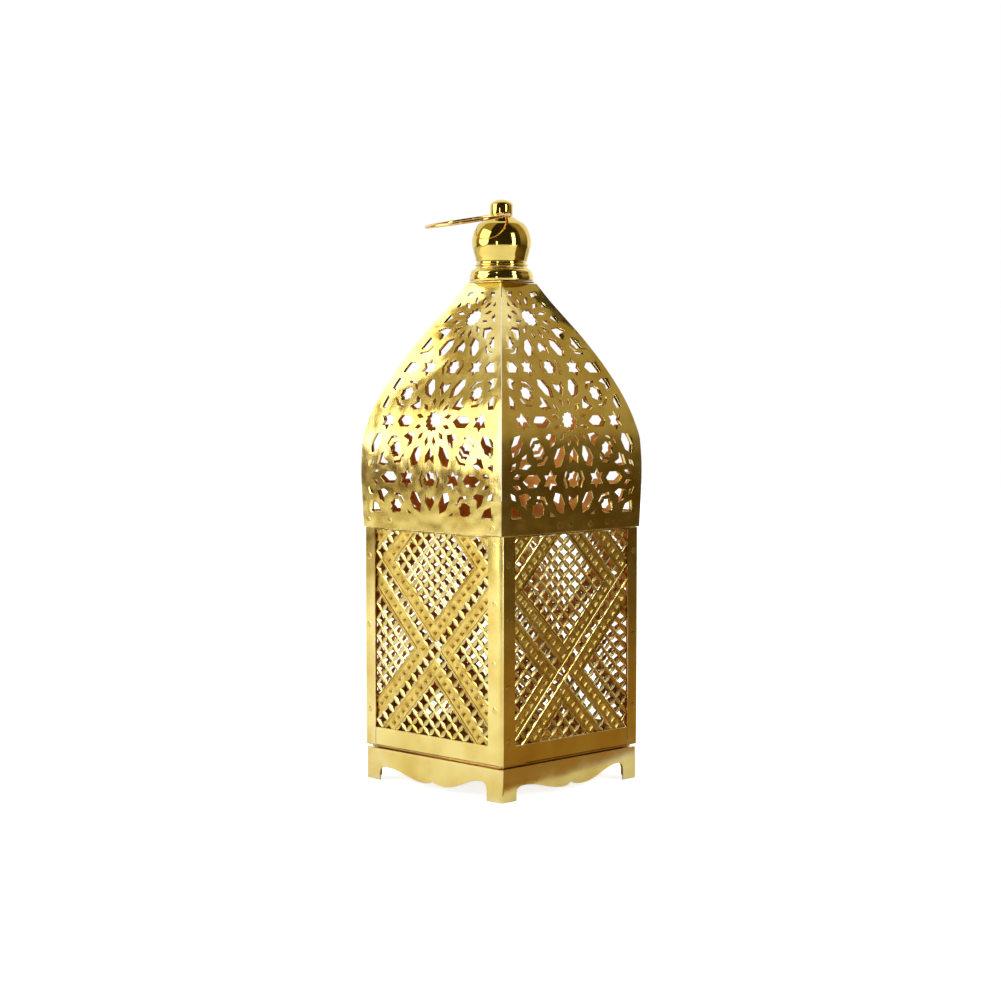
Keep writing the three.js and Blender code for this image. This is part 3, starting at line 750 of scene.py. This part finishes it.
def spreadPattern(name, pieces):
    # repeats one field of the pattern over more than the window
    period = latticeShape["period"]
    pattern = joinPieces(name, pieces)
    pattern.data.transform(shift(-2 * period, -2 * period, 0))
    repeatPiece(pattern, 4, (period, 0, 0))
    repeatPiece(pattern, 4, (0, period, 0))
    tidyMesh(pattern, 0.02 * mm)
    return pattern


def makePattern():
    shape = latticeShape
    cell, pitch = shape["cell"], shape["flankPitch"]
    start = shape["blockStart"] + cell / 2
    block = starCell("blockCell", cell, cell, shape["cellHole"], (start, start))
    repeatPiece(block, 7, (cell, 0, 0))
    repeatPiece(block, 7, (0, cell, 0))
    low, high = shape["flank"]
    first = shape["firstHole"] + pitch
    flank = dimpleCell("flankCell", (first - pitch / 2, low), (first + pitch / 2, high),
                       (first, shape["flankHole"]))
    repeatPiece(flank, 9, (pitch, 0, 0))
    edge = first - pitch / 2
    corner = dimpleCell("cornerCell", (low, low), (edge, edge), (shape["cornerHole"],) * 2)
    bandCell, bandWide = shape["bandCell"]
    row = starCell("rowCell", bandCell, bandWide, shape["bandHole"], (0, 0))
    repeatPiece(row, 10, (bandCell, 0, 0))
    column = starCell("columnCell", bandWide, bandCell, shape["bandHole"], (0, bandCell))
    repeatPiece(column, 9, (0, bandCell, 0))
    stars = spreadPattern("latticeStars", [block, row, column])
    fields = quarterTurns(flank, "flankCell") + quarterTurns(corner, "cornerCell")
    return stars, spreadPattern("latticeFields", fields)


def straightRail(name, profile, start, end, across):
    # a rail along X between two lengths
    points = [(x * mm, (across + y) * mm, z * mm) for x in (start, end) for y, z in profile]
    count = len(profile)
    faces = [tuple(range(count))[::-1], tuple(range(count, 2 * count))]
    faces += [(i, (i + 1) % count, count + (i + 1) % count, count + i) for i in range(count)]
    return newMesh(name, points, (), faces)


def squareRail(name, profile, centre, half):
    # a rail round a square, its corners mitred
    points = []
    for sx, sy in ((1, 1), (-1, 1), (-1, -1), (1, -1)):
        points += [((centre + sx * (half + d)) * mm, (centre + sy * (half + d)) * mm, z * mm)
                   for d, z in profile]
    count = len(profile)
    faces = []
    for side in range(4):
        for i in range(count):
            a, b = side * count + i, side * count + (i + 1) % count
            c, d = (a + count) % (4 * count), (b + count) % (4 * count)
            faces.append((a, b, d, c))
    return newMesh(name, points, (), faces)


def makeRails():
    shape = latticeShape
    period, gap, reach = shape["period"], shape["railGap"], shape["railReach"]
    offset = shape["flank"][0]
    rails = []
    for band in (-1, 0, 1):
        for side in (-1, 1):
            across = band * period + side * offset
            rails.append(straightRail("throughRail", innerRail, -reach, reach, across))
            for segment in (-2, -1, 0, 1):
                start = segment * period + offset + gap
                end = start + period - 2 * offset - 2 * gap
                piece = straightRail("crossRail", innerRail, start, end, across)
                piece.data.transform(quarterTurn(1))
                rails.append(piece)
    blockHalf = period / 2 - shape["blockStart"] + shape["railOverlap"]
    for i in (-2, -1, 0, 1):
        for j in (-2, -1, 0, 1):
            ring = squareRail("blockRail", outerRail, period / 2, blockHalf)
            ring.data.transform(shift(i * period, j * period, 0))
            rails.append(ring)
    joined = joinPieces("latticeRails", rails)
    tidyMesh(joined)
    return joined


def facesBack(centre, normal):
    return normal.z < -0.35


def makeLattices():
    shape = latticeShape
    half, low, high = shape["halfWidth"] * mm, shape["bottom"] * mm, shape["top"] * mm
    edges = (((half, 0, 0), (1, 0, 0)), ((-half, 0, 0), (-1, 0, 0)),
             ((0, high, 0), (0, 1, 0)), ((0, low, 0), (0, -1, 0)))
    upright = shift(0, -shape["face"], 0) @ Matrix.Rotation(math.pi / 2, 4, "X")
    stars, fields = makePattern()
    rails = makeRails()
    # pattern, its name and finish, and whether it is thin sheet
    layers = ((stars, "latticeSheet", "pressedLatticeBrass", True),
              (fields, "latticeField", "fieldBrassPaintedShade", True),
              (rails, "latticeRail", "pressedLatticeBrass", False))
    # side, the side across from it, and how many quarter turns from the front
    pairs = (("Front", "Back", "frontCrossing", 0), ("Right", "Left", "sideCrossing", 1))
    for side, facing, crossing, turns in pairs:
        x, z = shape[crossing]
        turn = shift(x, z, 0) @ Matrix.Rotation(math.pi / 4, 4, "Z")
        parts = [copyPiece(pattern, name, turn) for pattern, name, finish, thin in layers]
        for part, (pattern, name, finish, thin) in zip(parts, layers):
            for place, normal in edges:
                trimPiece(part, place, normal, not thin)
            if thin:
                applyModifier(part, "SOLIDIFY", thickness=shape["sheet"] * mm, offset=-1)
            # back faces take the painted red brown bounce, a painted reflection
            dress(part, finish, "paintedBounceLatticeBack", facesBack)
        lattice = joinPieces("lattice" + side, parts)
        lattice.data.transform(quarterTurn(turns) @ upright)
        smoothPiece(lattice, 24)
        say(f"lattice with {len(lattice.data.polygons)} faces")
        other = copyPiece(lattice, "lattice" + facing, quarterTurn(2))
        finishPiece(lattice, "lantern", "pale_gold", "lattice_" + side.lower())
        finishPiece(other, "lantern", "pale_gold", "lattice_" + facing.lower())
    for pattern in (stars, fields, rails):
        bpy.data.objects.remove(pattern)


# Dome: four pierced panels, cut flat, curved to the outline and hollowed a little across

domeShape = {
    "sheet": 0.8, "edgeBreak": 0.1, "seam": 0.15, "sill": 137, "foldEvery": 2.4, "sliceEvery": 4,
    "dish": 3.4, "dishGrows": (61, 89), "dishEases": (127, 139), "dishLoss": 0.6,
    "sideBorder": 6, "lowerBand": 8.6, "upperBand": 5.4, "smallestHole": 1.6,
    "edgeEvery": 3, "borderEvery": 8, "borderTip": 0.5,
}
# height above the sill, half width of the face
domeOutline = [
    (0, 52.8), (31, 53.62), (46.6, 53), (57.4, 50.7), (68.2, 47.3), (84.3, 40.35),
    (100.4, 31.7), (111.2, 25), (121.9, 18.3), (130.6, 13.4),
]
# twelve-fold rosettes on a triangular grid; distances are from a rosette's middle
rosette = {
    "pitch": 61, "mainHeight": 57.8, "star": (5.8, 4.8), "kite": (7.9, 11.2, 13.7, 1.35),
    "longPetal": (14.7, 18.6, 24.9, 27.6, 3.15), "shortPetal": (13.9, 18.2, 22.2, 20, 3.4),
    "middleStar": (4.6, 3.7), "chevron": (8, 6, 4.5, 1.6), "hexagram": (5.3, 3.1),
}


def smoothCurve(points):
    # value at any place along points, without overshoot
    xs, ys = zip(*points)
    slopes = [(ys[i + 1] - ys[i]) / (xs[i + 1] - xs[i]) for i in range(len(xs) - 1)]
    tangents = [slopes[0]]
    for a, b in zip(slopes, slopes[1:]):
        tangents.append(0 if a * b <= 0 else 2 * a * b / (a + b))
    tangents.append(slopes[-1])

    def value(x):
        i = max(k for k in range(len(xs) - 1) if k == 0 or xs[k] <= x)
        span = xs[i + 1] - xs[i]
        t = (x - xs[i]) / span
        return ((1 + 2 * t) * (1 - t) ** 2 * ys[i] + t * (1 - t) ** 2 * span * tangents[i]
                + t * t * (3 - 2 * t) * ys[i + 1] + t * t * (t - 1) * span * tangents[i + 1])

    return value


halfAtHeight = smoothCurve(domeOutline)


def walkOutline():
    # how far along the sheet, height and half width, every quarter of a millimetre
    stations = []
    along = 0
    rise = domeOutline[-1][0]
    count = round(rise / 0.25)
    for i in range(count + 1):
        height = rise * i / count
        half = halfAtHeight(height)
        if stations:
            along += math.hypot(height - stations[-1][1], half - stations[-1][2])
        stations.append((along, height, half))
    return stations


domeStations = walkOutline()
domeLength = domeStations[-1][0]


def domeStation(along):
    # height, half width and outward direction of the sheet at a length along it
    low, high = 0, len(domeStations) - 1
    while high - low > 1:
        middle = (low + high) // 2
        if domeStations[middle][0] <= along:
            low = middle
        else:
            high = middle
    (s0, z0, r0), (s1, z1, r1) = domeStations[low], domeStations[high]
    share = (along - s0) / (s1 - s0)
    run = math.hypot(z1 - z0, r1 - r0)
    return z0 + share * (z1 - z0), r0 + share * (r1 - r0), (z1 - z0) / run, (r0 - r1) / run


def ease(value, start, end):
    t = min(1, max(0, (value - start) / (end - start)))
    return t * t * (3 - 2 * t)


def polar(centre, distance, angle, side=0):
    # a point at a distance from the centre, and so far to the left of that direction
    c, s = math.cos(angle), math.sin(angle)
    return centre[0] + distance * c - side * s, centre[1] + distance * s + side * c


def starHole(centre, count, outer, inner, turn=0):
    return [polar(centre, outer if i % 2 == 0 else inner, turn + i * math.pi / count)
            for i in range(2 * count)]


def petalHole(centre, angle, petal):
    tip, shoulder, heel, end, side = petal
    return [polar(centre, tip, angle), polar(centre, shoulder, angle, -side),
            polar(centre, heel, angle, -side), polar(centre, end, angle),
            polar(centre, heel, angle, side), polar(centre, shoulder, angle, side)]


def chevronHole(centre, angle, chevron):
    apex, inner, arm, width = chevron
    back = inner - 0.7 * width
    return [polar(centre, apex, angle), polar(centre, inner, angle, arm),
            polar(centre, back, angle, arm - 0.3 * width), polar(centre, apex - width, angle),
            polar(centre, back, angle, 0.3 * width - arm), polar(centre, inner, angle, -arm)]


def signedArea(loop):
    return sum(a[0] * b[1] - b[0] * a[1] for a, b in zip(loop, loop[1:] + loop[:1])) / 2


def clipLoop(loop, border):
    # keeps what lies inside a convex border that runs anticlockwise
    kept = loop
    for start, end in zip(border, border[1:] + border[:1]):
        def inside(p):
            return (end[0] - start[0]) * (p[1] - start[1]) - (end[1] - start[1]) * (p[0] - start[0])
        clipped = []
        for here, there in zip(kept, kept[1:] + kept[:1]):
            a, b = inside(here), inside(there)
            if a >= 0:
                clipped.append(here)
            if a * b < 0:
                t = a / (a - b)
                clipped.append(tuple(p + t * (q - p) for p, q in zip(here, there)))
        kept = clipped
    return kept


def clearEdges(loop):
    # drops corners that lie almost on the one before
    return [p for p, q in zip(loop, loop[-1:] + loop[:-1]) if math.dist(p, q) > 0.15]


def domeHoles():
    holes = []
    pitch = rosette["pitch"]
    sixth = math.pi / 3
    for column in (-1, 0, 1):
        for row in range(-2, 3):
            centre = (column * pitch * math.cos(math.pi / 6),
                      rosette["mainHeight"] + (row + 0.5 * abs(column)) * pitch)
            holes.append(starHole(centre, 12, *rosette["star"]))
            tip, wide, end, side = rosette["kite"]
            for k in range(12):
                angle = (k + 0.5) * sixth / 2
                holes.append([polar(centre, tip, angle), polar(centre, wide, angle, -side),
                              polar(centre, end, angle), polar(centre, wide, angle, side)])
            for k in range(6):
                holes.append(petalHole(centre, k * sixth, rosette["longPetal"]))
                holes.append(petalHole(centre, (k + 0.5) * sixth, rosette["shortPetal"]))
            for k in range(2):
                triangle = polar(centre, pitch / math.sqrt(3), k * sixth)
                holes.append(starHole(triangle, 6, *rosette["hexagram"], math.pi / 2))
            for k in range(3):
                angle = (k + 0.5) * sixth
                middle = polar(centre, pitch / 2, angle)
                holes.append(starHole(middle, 8, *rosette["middleStar"], angle))
                for turn in (-math.pi / 2, math.pi / 2):
                    holes.append(chevronHole(middle, angle + turn, rosette["chevron"]))
    return holes


def makeDomePanels():
    shape = domeShape
    edge = []
    for height in steps(0, domeOutline[-1][0], shape["edgeEvery"]):
        along = min(domeStations, key=lambda station: abs(station[1] - height))[0]
        edge.append((domeStation(along)[1], along))
    low, high = shape["lowerBand"], domeLength - shape["upperBand"]
    border = [(domeStation(s)[1] - shape["sideBorder"], s)
              for s in steps(low, high, shape["borderEvery"])]
    border = [p for p in border if p[0] > shape["borderTip"]]
    border += [(-x, s) for x, s in border[::-1]]
    holes = []
    for hole in domeHoles():
        if signedArea(hole) < 0:
            hole = hole[::-1]
        trimmed = clearEdges(clipLoop(hole, border))
        if len(trimmed) > 2 and signedArea(trimmed) > shape["smallestHole"]:
            holes.append(trimmed[::-1])
    outline = edge + [(-x, s) for x, s in edge[::-1]]
    panel = cutPlate("domePanelFront", outline, holes, shape["sheet"], shape["edgeBreak"])
    slicePiece(panel, (0, 1, 0), steps(0, domeLength, shape["foldEvery"])[1:-1])
    slicePiece(panel, (1, 0, 0), steps(-52, 52, shape["sliceEvery"])[1:-1])

    def bend(co):
        along = min(max(co.y / mm, 0), domeLength)
        height, half, outward, upward = domeStation(along)
        depth = co.z / mm - shape["sheet"] / 2
        across = co.x / mm / half
        dish = shape["dish"] * ease(along, *shape["dishGrows"])
        dish *= 1 - shape["dishLoss"] * ease(along, *shape["dishEases"])
        dish *= max(0, 1 - across * across)
        distance = half + outward * depth
        return Vector((across * (distance - shape["seam"]), dish - distance,
                       shape["sill"] + height + upward * depth)) * mm

    movePoints(panel, bend)
    tidyMesh(panel)
    smoothPiece(panel, 30)
    # the inner faces take the painted orange bounce, painted reflection between the gold walls
    dress(panel, "brassPlatedDome", "paintedBounceInsideBrass", facesAxis)
    say(f"dome panel with {len(panel.data.polygons)} faces")
    for turns, side in enumerate(("Right", "Back", "Left"), 1):
        turned = copyPiece(panel, "domePanel" + side, quarterTurn(turns))
        finishPiece(turned, "lantern", "satin_gold", "dome_panel_" + side.lower())
    finishPiece(panel, "lantern", "satin_gold", "dome_panel_front")


# Finial: spun parts on a stud, with a loose wire ring through the knob

finial = {
    "hole": 2.9, "capHalf": 12.6, "capRound": 1, "capBottom": 267.9, "capTop": 268.7,
    "capEdgeBreak": 0.12, "ballRadius": 15.9, "ballMiddle": 289.4, "ballStart": 287.2,
    "flareBottom": 299.5, "knobRadius": 6.15, "knobRound": 3.4, "knobTop": 312.5,
    "crossHole": 1.8, "segments": 128,
}
# profiles: radius, height
collarProfile = [
    (2.9, 269), (16.6, 269), (16.95, 269.15), (17.1, 269.5), (17.1, 271.9), (16.95, 272.25),
    (16.6, 272.4), (16.55, 272.6), (16.6, 272.8), (16.55, 273.5), (16.2, 274.2), (15.6, 274.8),
    (14.9, 275.3), (14.3, 275.6), (14.2, 275.9), (2.9, 275.9),
]
neckProfile = [
    (2.9, 276.2), (13.3, 276.2), (13.4, 276.35), (13.4, 276.6), (13.55, 276.7), (13.95, 276.85),
    (14.2, 277.2), (14.2, 277.5), (13.95, 277.85), (13.55, 278), (13.4, 278.1), (13.4, 279),
    (13.25, 279.2), (2.9, 279.2),
]
ballFootProfile = [
    (0, 286.8), (2.9, 286.8), (2.9, 279.5), (13.6, 279.5), (13.82, 279.6), (13.95, 280),
    (14.15, 281), (14.45, 282.2), (14.8, 283.4), (15.15, 284.7), (15.5, 286.1),
]
flareProfile = [
    (12.28, 299.5), (11.3, 300.15), (10.2, 300.8), (9.2, 301.4), (8.3, 302), (7.5, 302.6),
    (6.8, 303.1), (6.15, 303.45), (5.8, 303.6), (5.7, 303.8), (5.8, 304), (6.05, 304.25),
    (6.15, 304.6), (6.15, 308.9),
]


def ballProfile():
    size = finial
    radius, middle, top = size["ballRadius"], size["ballMiddle"], size["knobTop"]
    low, high = (math.degrees(math.asin((size[end] - middle) / radius))
                 for end in ("ballStart", "flareBottom"))
    profile = ballFootProfile + arcPoints((0, middle), radius, low, high, 24)[:-1] + flareProfile
    wide, rise = size["knobRadius"], size["knobRound"]
    for degrees in range(6, 84, 6):
        angle = math.radians(degrees)
        profile.append((wide * math.cos(angle), top - rise + rise * math.sin(angle)))
    return profile + [(0, top)]


def makeFinial():
    size = finial
    cap = flatSquare("capPlate", size["capHalf"], size["capRound"], size["capBottom"],
                     size["capTop"], size["capEdgeBreak"], 0, roundHole(size["hole"]))
    smoothPiece(cap)
    # the cap plate under the collar takes the same darker yellow, painted shade
    dress(cap, "fieldBrassPaintedShade")
    finishPiece(cap, "lantern", "satin_gold", "cap_plate")
    for name, profile in (("collar", collarProfile), ("neck", neckProfile)):
        piece = turnedPiece("finial" + name.title(), profile + profile[:1], size["segments"])
        dress(piece, "polishedBrassPlate")
        finishPiece(piece, "lantern", "mirror_gold", "finial_" + name)
    ball = turnedPiece("finialBall", ballProfile(), size["segments"])
    bpy.ops.mesh.primitive_cylinder_add(vertices=40, radius=size["crossHole"] * mm, depth=30 * mm)
    cutter = bpy.context.object
    cutter.data.transform(ringPlace() @ Matrix.Rotation(math.pi / 2, 4, "Y"))
    applyModifier(ball, "BOOLEAN", operation="DIFFERENCE", solver="EXACT", object=cutter)
    bpy.data.objects.remove(cutter)
    smoothPiece(ball, 35)
    dress(ball, "polishedBrassPlate")
    finishPiece(ball, "lantern", "mirror_gold", "finial_ball")


# stud that clamps the finial to the cap plate, threaded over its lower end
stud = {
    "radius": 2.5, "groove": 2.2, "bottom": 260.3, "threadStart": 260.5, "halfPitch": 0.4,
    "threadTurns": 8, "shank": (267, 286.2), "top": 286.5,
}
washerProfile = [
    (2.9, 266.6), (7.8, 266.6), (8, 266.8), (8, 267.4), (7.8, 267.6), (2.9, 267.6), (2.9, 266.6),
]
nut = {"across": 9.2, "bottom": 262.3, "top": 266.3, "bore": 2.9, "edgeBreak": 0.3}


def studProfile():
    radius, groove = stud["radius"], stud["groove"]
    profile = [(0, stud["bottom"]), (groove - 0.1, stud["bottom"])]
    for i in range(2 * stud["threadTurns"]):
        profile.append((groove if i % 2 else radius, stud["threadStart"] + i * stud["halfPitch"]))
    profile += [(radius, height) for height in stud["shank"]]
    return profile + [(groove, stud["top"]), (0, stud["top"])]


def makeNut():
    corner = nut["across"] / 2
    outline = [(corner * math.cos(i * math.pi / 3), corner * math.sin(i * math.pi / 3))
               for i in range(6)]
    low, high = nut["bottom"], nut["top"]
    piece = cutPlate("studNut", outline, [roundHole(nut["bore"])], high - low, nut["edgeBreak"])
    piece.data.transform(shift(0, 0, (low + high) / 2))
    smoothPiece(piece)
    return piece


def makeStud():
    pieces = {"finial_stud": turnedPiece("finialStud", studProfile(), 48),
              "stud_washer": turnedPiece("studWasher", washerProfile, 64), "stud_nut": makeNut()}
    for node, piece in pieces.items():
        dress(piece, "zincPlatedSteel")
        finishPiece(piece, "lantern", "plain_steel", node)


# groove: where the wire's two ends meet, in degrees round the ring, half its width and the
# share of the wire's radius left there
ringHandle = {
    "wire": 0.9, "radius": 22.2, "height": 304.3, "turn": -13, "droop": 10, "offset": 0.5,
    "segments": (180, 20), "groove": (62, 0.9, 0.8),
}


def ringPlace():
    turn = Matrix.Rotation(math.radians(ringHandle["turn"]), 4, "Z")
    return shift(0, 0, ringHandle["height"]) @ turn


def makeRing():
    ring = ringHandle
    radius, (around, section) = ring["radius"], ring["segments"]
    bpy.ops.mesh.primitive_torus_add(major_segments=around, minor_segments=section,
                                     major_radius=radius * mm, minor_radius=ring["wire"] * mm)
    piece = bpy.context.object
    piece.name = "ringHandle"
    place, half, share = ring["groove"]
    for vertex in piece.data.vertices:
        angle = math.degrees(math.atan2(vertex.co.y, vertex.co.x))
        if abs(angle - place) < half:
            middle = Vector((vertex.co.x, vertex.co.y, 0)).normalized() * radius * mm
            vertex.co = middle + (vertex.co - middle) * share
    droop = Matrix.Rotation(math.radians(ring["droop"]), 4, "X")
    piece.data.transform(ringPlace() @ droop @ shift(0, ring["offset"] - radius, 0))
    smoothPiece(piece, 40)
    dress(piece, "drawnWireBrass")
    finishPiece(piece, "ring", "wire_gold", "ring_handle")


# Studio: pale floor, white surroundings, glowing sheets on the camera's side as painted shade in
# reflections, softboxes

# in metres; boxes by degrees round from the camera, distance from the lantern and rise
studio = {
    "worldLight": 0.55, "floorGlow": 0.8, "floorRadius": 3, "floorDrop": 0.0002,
    "roomRadius": 1.6, "roomHeight": 1.9, "wallParts": 16, "nearCorner": 0.09, "glowSheetRise": 0.001,
    "nearReach": (0.3, 1.1), "paleHeights": (0.05, 0.8),
    "leftBox": {"turn": -74, "width": 1.15, "height": 1.5, "distance": 1.4, "rise": 0.6,
                "power": 13.3},
    "rightBox": {"turn": 49, "width": 0.3, "height": 1.1, "distance": 1.4, "rise": 0.55,
                 "power": 6},
    "lowBox": {"turn": -18, "width": 0.12, "height": 0.3, "distance": 1.35, "rise": 0.2,
               "power": 0.5},
    "topBox": {"width": 1.4, "distance": 1.6, "power": 7},
}
# glowing sheets round the camera's side, seen only in reflections: painted shade of a dim room, and
# on the right, where the sheet runs over the floor, a painted shadow of the lantern. From and to in
# degrees round from the camera, tone near the lantern, at the wall's foot and higher up, and
# whether the sheet runs on over the floor
paintedShadeWalls = {
    "frontPaintedShade": (-52, 80, "#2A2010", "#2A2010", "#2A2212", False),
    "rightPaintedShade": (66, 122, "#8A6418", "#4A380C", "#A69468", True),
    "leftPaintedShade": (-116, -52, "#6A5428", "#6A5428", "#B0A070", False),
}
# a pale glowing sheet on the floor along the left wall, seen only in reflections: a painted
# reflection of the floor lit from the left. From and to in degrees, inner and outer radius
paintedLitFloor = {"from": -116, "to": -60, "inner": 1.08, "outer": 1.6, "tone": "#DCD2B0"}


def studioSide(turn):
    # level direction from the lantern, in degrees round from the camera, right positive
    angle = math.radians(cameraSpot["azimuth"] + turn)
    return Vector((math.sin(angle), -math.cos(angle), 0))


def addSoftbox(name, place, width, height, power, aim=Vector((0, 0, 0.16))):
    data = bpy.data.lights.new(name, "AREA")
    data.shape = "RECTANGLE"
    data.size = width
    data.size_y = height
    data.energy = power
    lamp = bpy.data.objects.new(name, data)
    lamp.location = place
    lamp.rotation_euler = (aim - place).to_track_quat("-Z", "Y").to_euler()
    bpy.context.scene.collection.objects.link(lamp)
    lamp.visible_camera = False
    return lamp


def lightStudio():
    scene = bpy.context.scene
    scene.view_settings.view_transform = "Standard"
    world = bpy.data.worlds.new("whiteSurroundings")
    scene.world = world
    world.use_nodes = True
    # white to the eye and in reflections, dimmer as light on matt surfaces
    path = addNode(world, "ShaderNodeLightPath")
    seen = path.outputs["Is Camera Ray"]
    for ray in ("Is Glossy Ray", "Is Transmission Ray"):
        seen = addNode(world, "ShaderNodeMath", {0: seen, 1: path.outputs[ray]},
                       operation="MAXIMUM").outputs[0]
    setInputs(world.node_tree.nodes["Background"], {
        "Color": (1, 1, 1, 1),
        "Strength": mapRange(world, seen, (0, 1), (studio["worldLight"], 1))})
    for name in ("leftBox", "rightBox", "lowBox"):
        box = studio[name]
        place = studioSide(box["turn"]) * box["distance"] + Vector((0, 0, box["rise"]))
        addSoftbox(name, place, box["width"], box["height"], box["power"])
    top = studio["topBox"]
    overhead = Vector((0, 0, top["distance"]))
    addSoftbox("topBox", overhead, top["width"], top["width"], top["power"]).visible_glossy = False


def makeFloor():
    bpy.ops.mesh.primitive_circle_add(vertices=64, radius=studio["floorRadius"],
                                      fill_type="NGON", location=(0, 0, -studio["floorDrop"]))
    floor = bpy.context.object
    floor.name = "floor"
    # matt white paper, lifted for the camera alone so that it meets the white surroundings
    material, shader = newMaterial("paleFloor")
    path = addNode(material, "ShaderNodeLightPath")
    glow = addNode(material, "ShaderNodeMath", {
        0: path.outputs["Is Camera Ray"], 1: studio["floorGlow"]}, operation="MULTIPLY")
    setInputs(shader, {
        "Base Color": toLinear("#F4F4F2"), "Roughness": 0.8, "Emission Color": (1, 1, 1, 1),
        "Emission Strength": glow.outputs[0]})
    floor.data.materials.append(material)


def paintedGlowMaterial(name, nearTone, footTone, highTone):
    # painted reflection: glows in its own tone and takes no light, what the metal mirrors and
    # nothing else
    material, shader = newMaterial(name)
    place = addNode(material, "ShaderNodeTexCoord").outputs["Object"]
    split = addNode(material, "ShaderNodeSeparateXYZ", {"Vector": place})
    away = addNode(material, "ShaderNodeVectorMath", {0: place}, operation="LENGTH")
    near = mapRange(material, away.outputs["Value"], studio["nearReach"])
    low = mixTones(material, near, toLinear(nearTone), toLinear(footTone))
    rise = mapRange(material, split.outputs["Z"], studio["paleHeights"])
    setInputs(shader, {
        "Base Color": (0, 0, 0, 1), "Roughness": 1, "Emission Strength": 1,
        "Emission Color": mixTones(material, rise, low, toLinear(highTone))})
    return material


def hideFromCamera(piece):
    piece.visible_camera = False
    piece.visible_diffuse = False
    piece.visible_shadow = False


def makePaintedLitFloor():
    # painted reflection: a pale glow on the floor, seen only in reflections
    runner = paintedLitFloor
    points = []
    for turn in steps(runner["from"], runner["to"], 4):
        side = studioSide(turn)
        points += [side * runner[edge] + Vector((0, 0, studio["glowSheetRise"]))
                   for edge in ("inner", "outer")]
    faces = [(i, i + 1, i + 3, i + 2) for i in range(0, len(points) - 2, 2)]
    glowSheet = newMesh("paintedLitFloor", points, (), faces)
    tone = runner["tone"]
    glowSheet.data.materials.append(paintedGlowMaterial("paintedLitFloor", tone, tone, tone))
    hideFromCamera(glowSheet)


def makeRoom():
    radius, height, count = studio["roomRadius"], studio["roomHeight"], studio["wallParts"]
    # floor and ceiling of the glowing sheets run together in one corner each
    corner = studioSide(2) * studio["nearCorner"] + Vector((0, 0, studio["glowSheetRise"]))
    for name, (start, end, nearTone, footTone, highTone, overFloor) in paintedShadeWalls.items():
        points, faces = [(0, 0, height), corner], []
        for i in range(count + 1):
            side = studioSide(start + (end - start) * i / count)
            points += [side * radius, side * radius + Vector((0, 0, height))]
        for i in range(count):
            a = 2 + 2 * i
            faces += [(a, a + 2, a + 3, a + 1), (0, a + 1, a + 3)]
            if overFloor:
                faces.append((1, a + 2, a))
        wall = newMesh(name, points, (), faces)
        wall.data.materials.append(paintedGlowMaterial(name, nearTone, footTone, highTone))
        hideFromCamera(wall)


placeCamera()
makeBaseSkirt()
makeBaseTray()
makeCandleCup()
say("base")
makeBody()
makeWeldSpots()
say("body")
makeLattices()
say("lattice")
makeDomePanels()
say("dome")
makeFinial()
makeStud()
makeRing()
say("finial")
lightStudio()
makeFloor()
makeRoom()
makePaintedLitFloor()
say("studio")
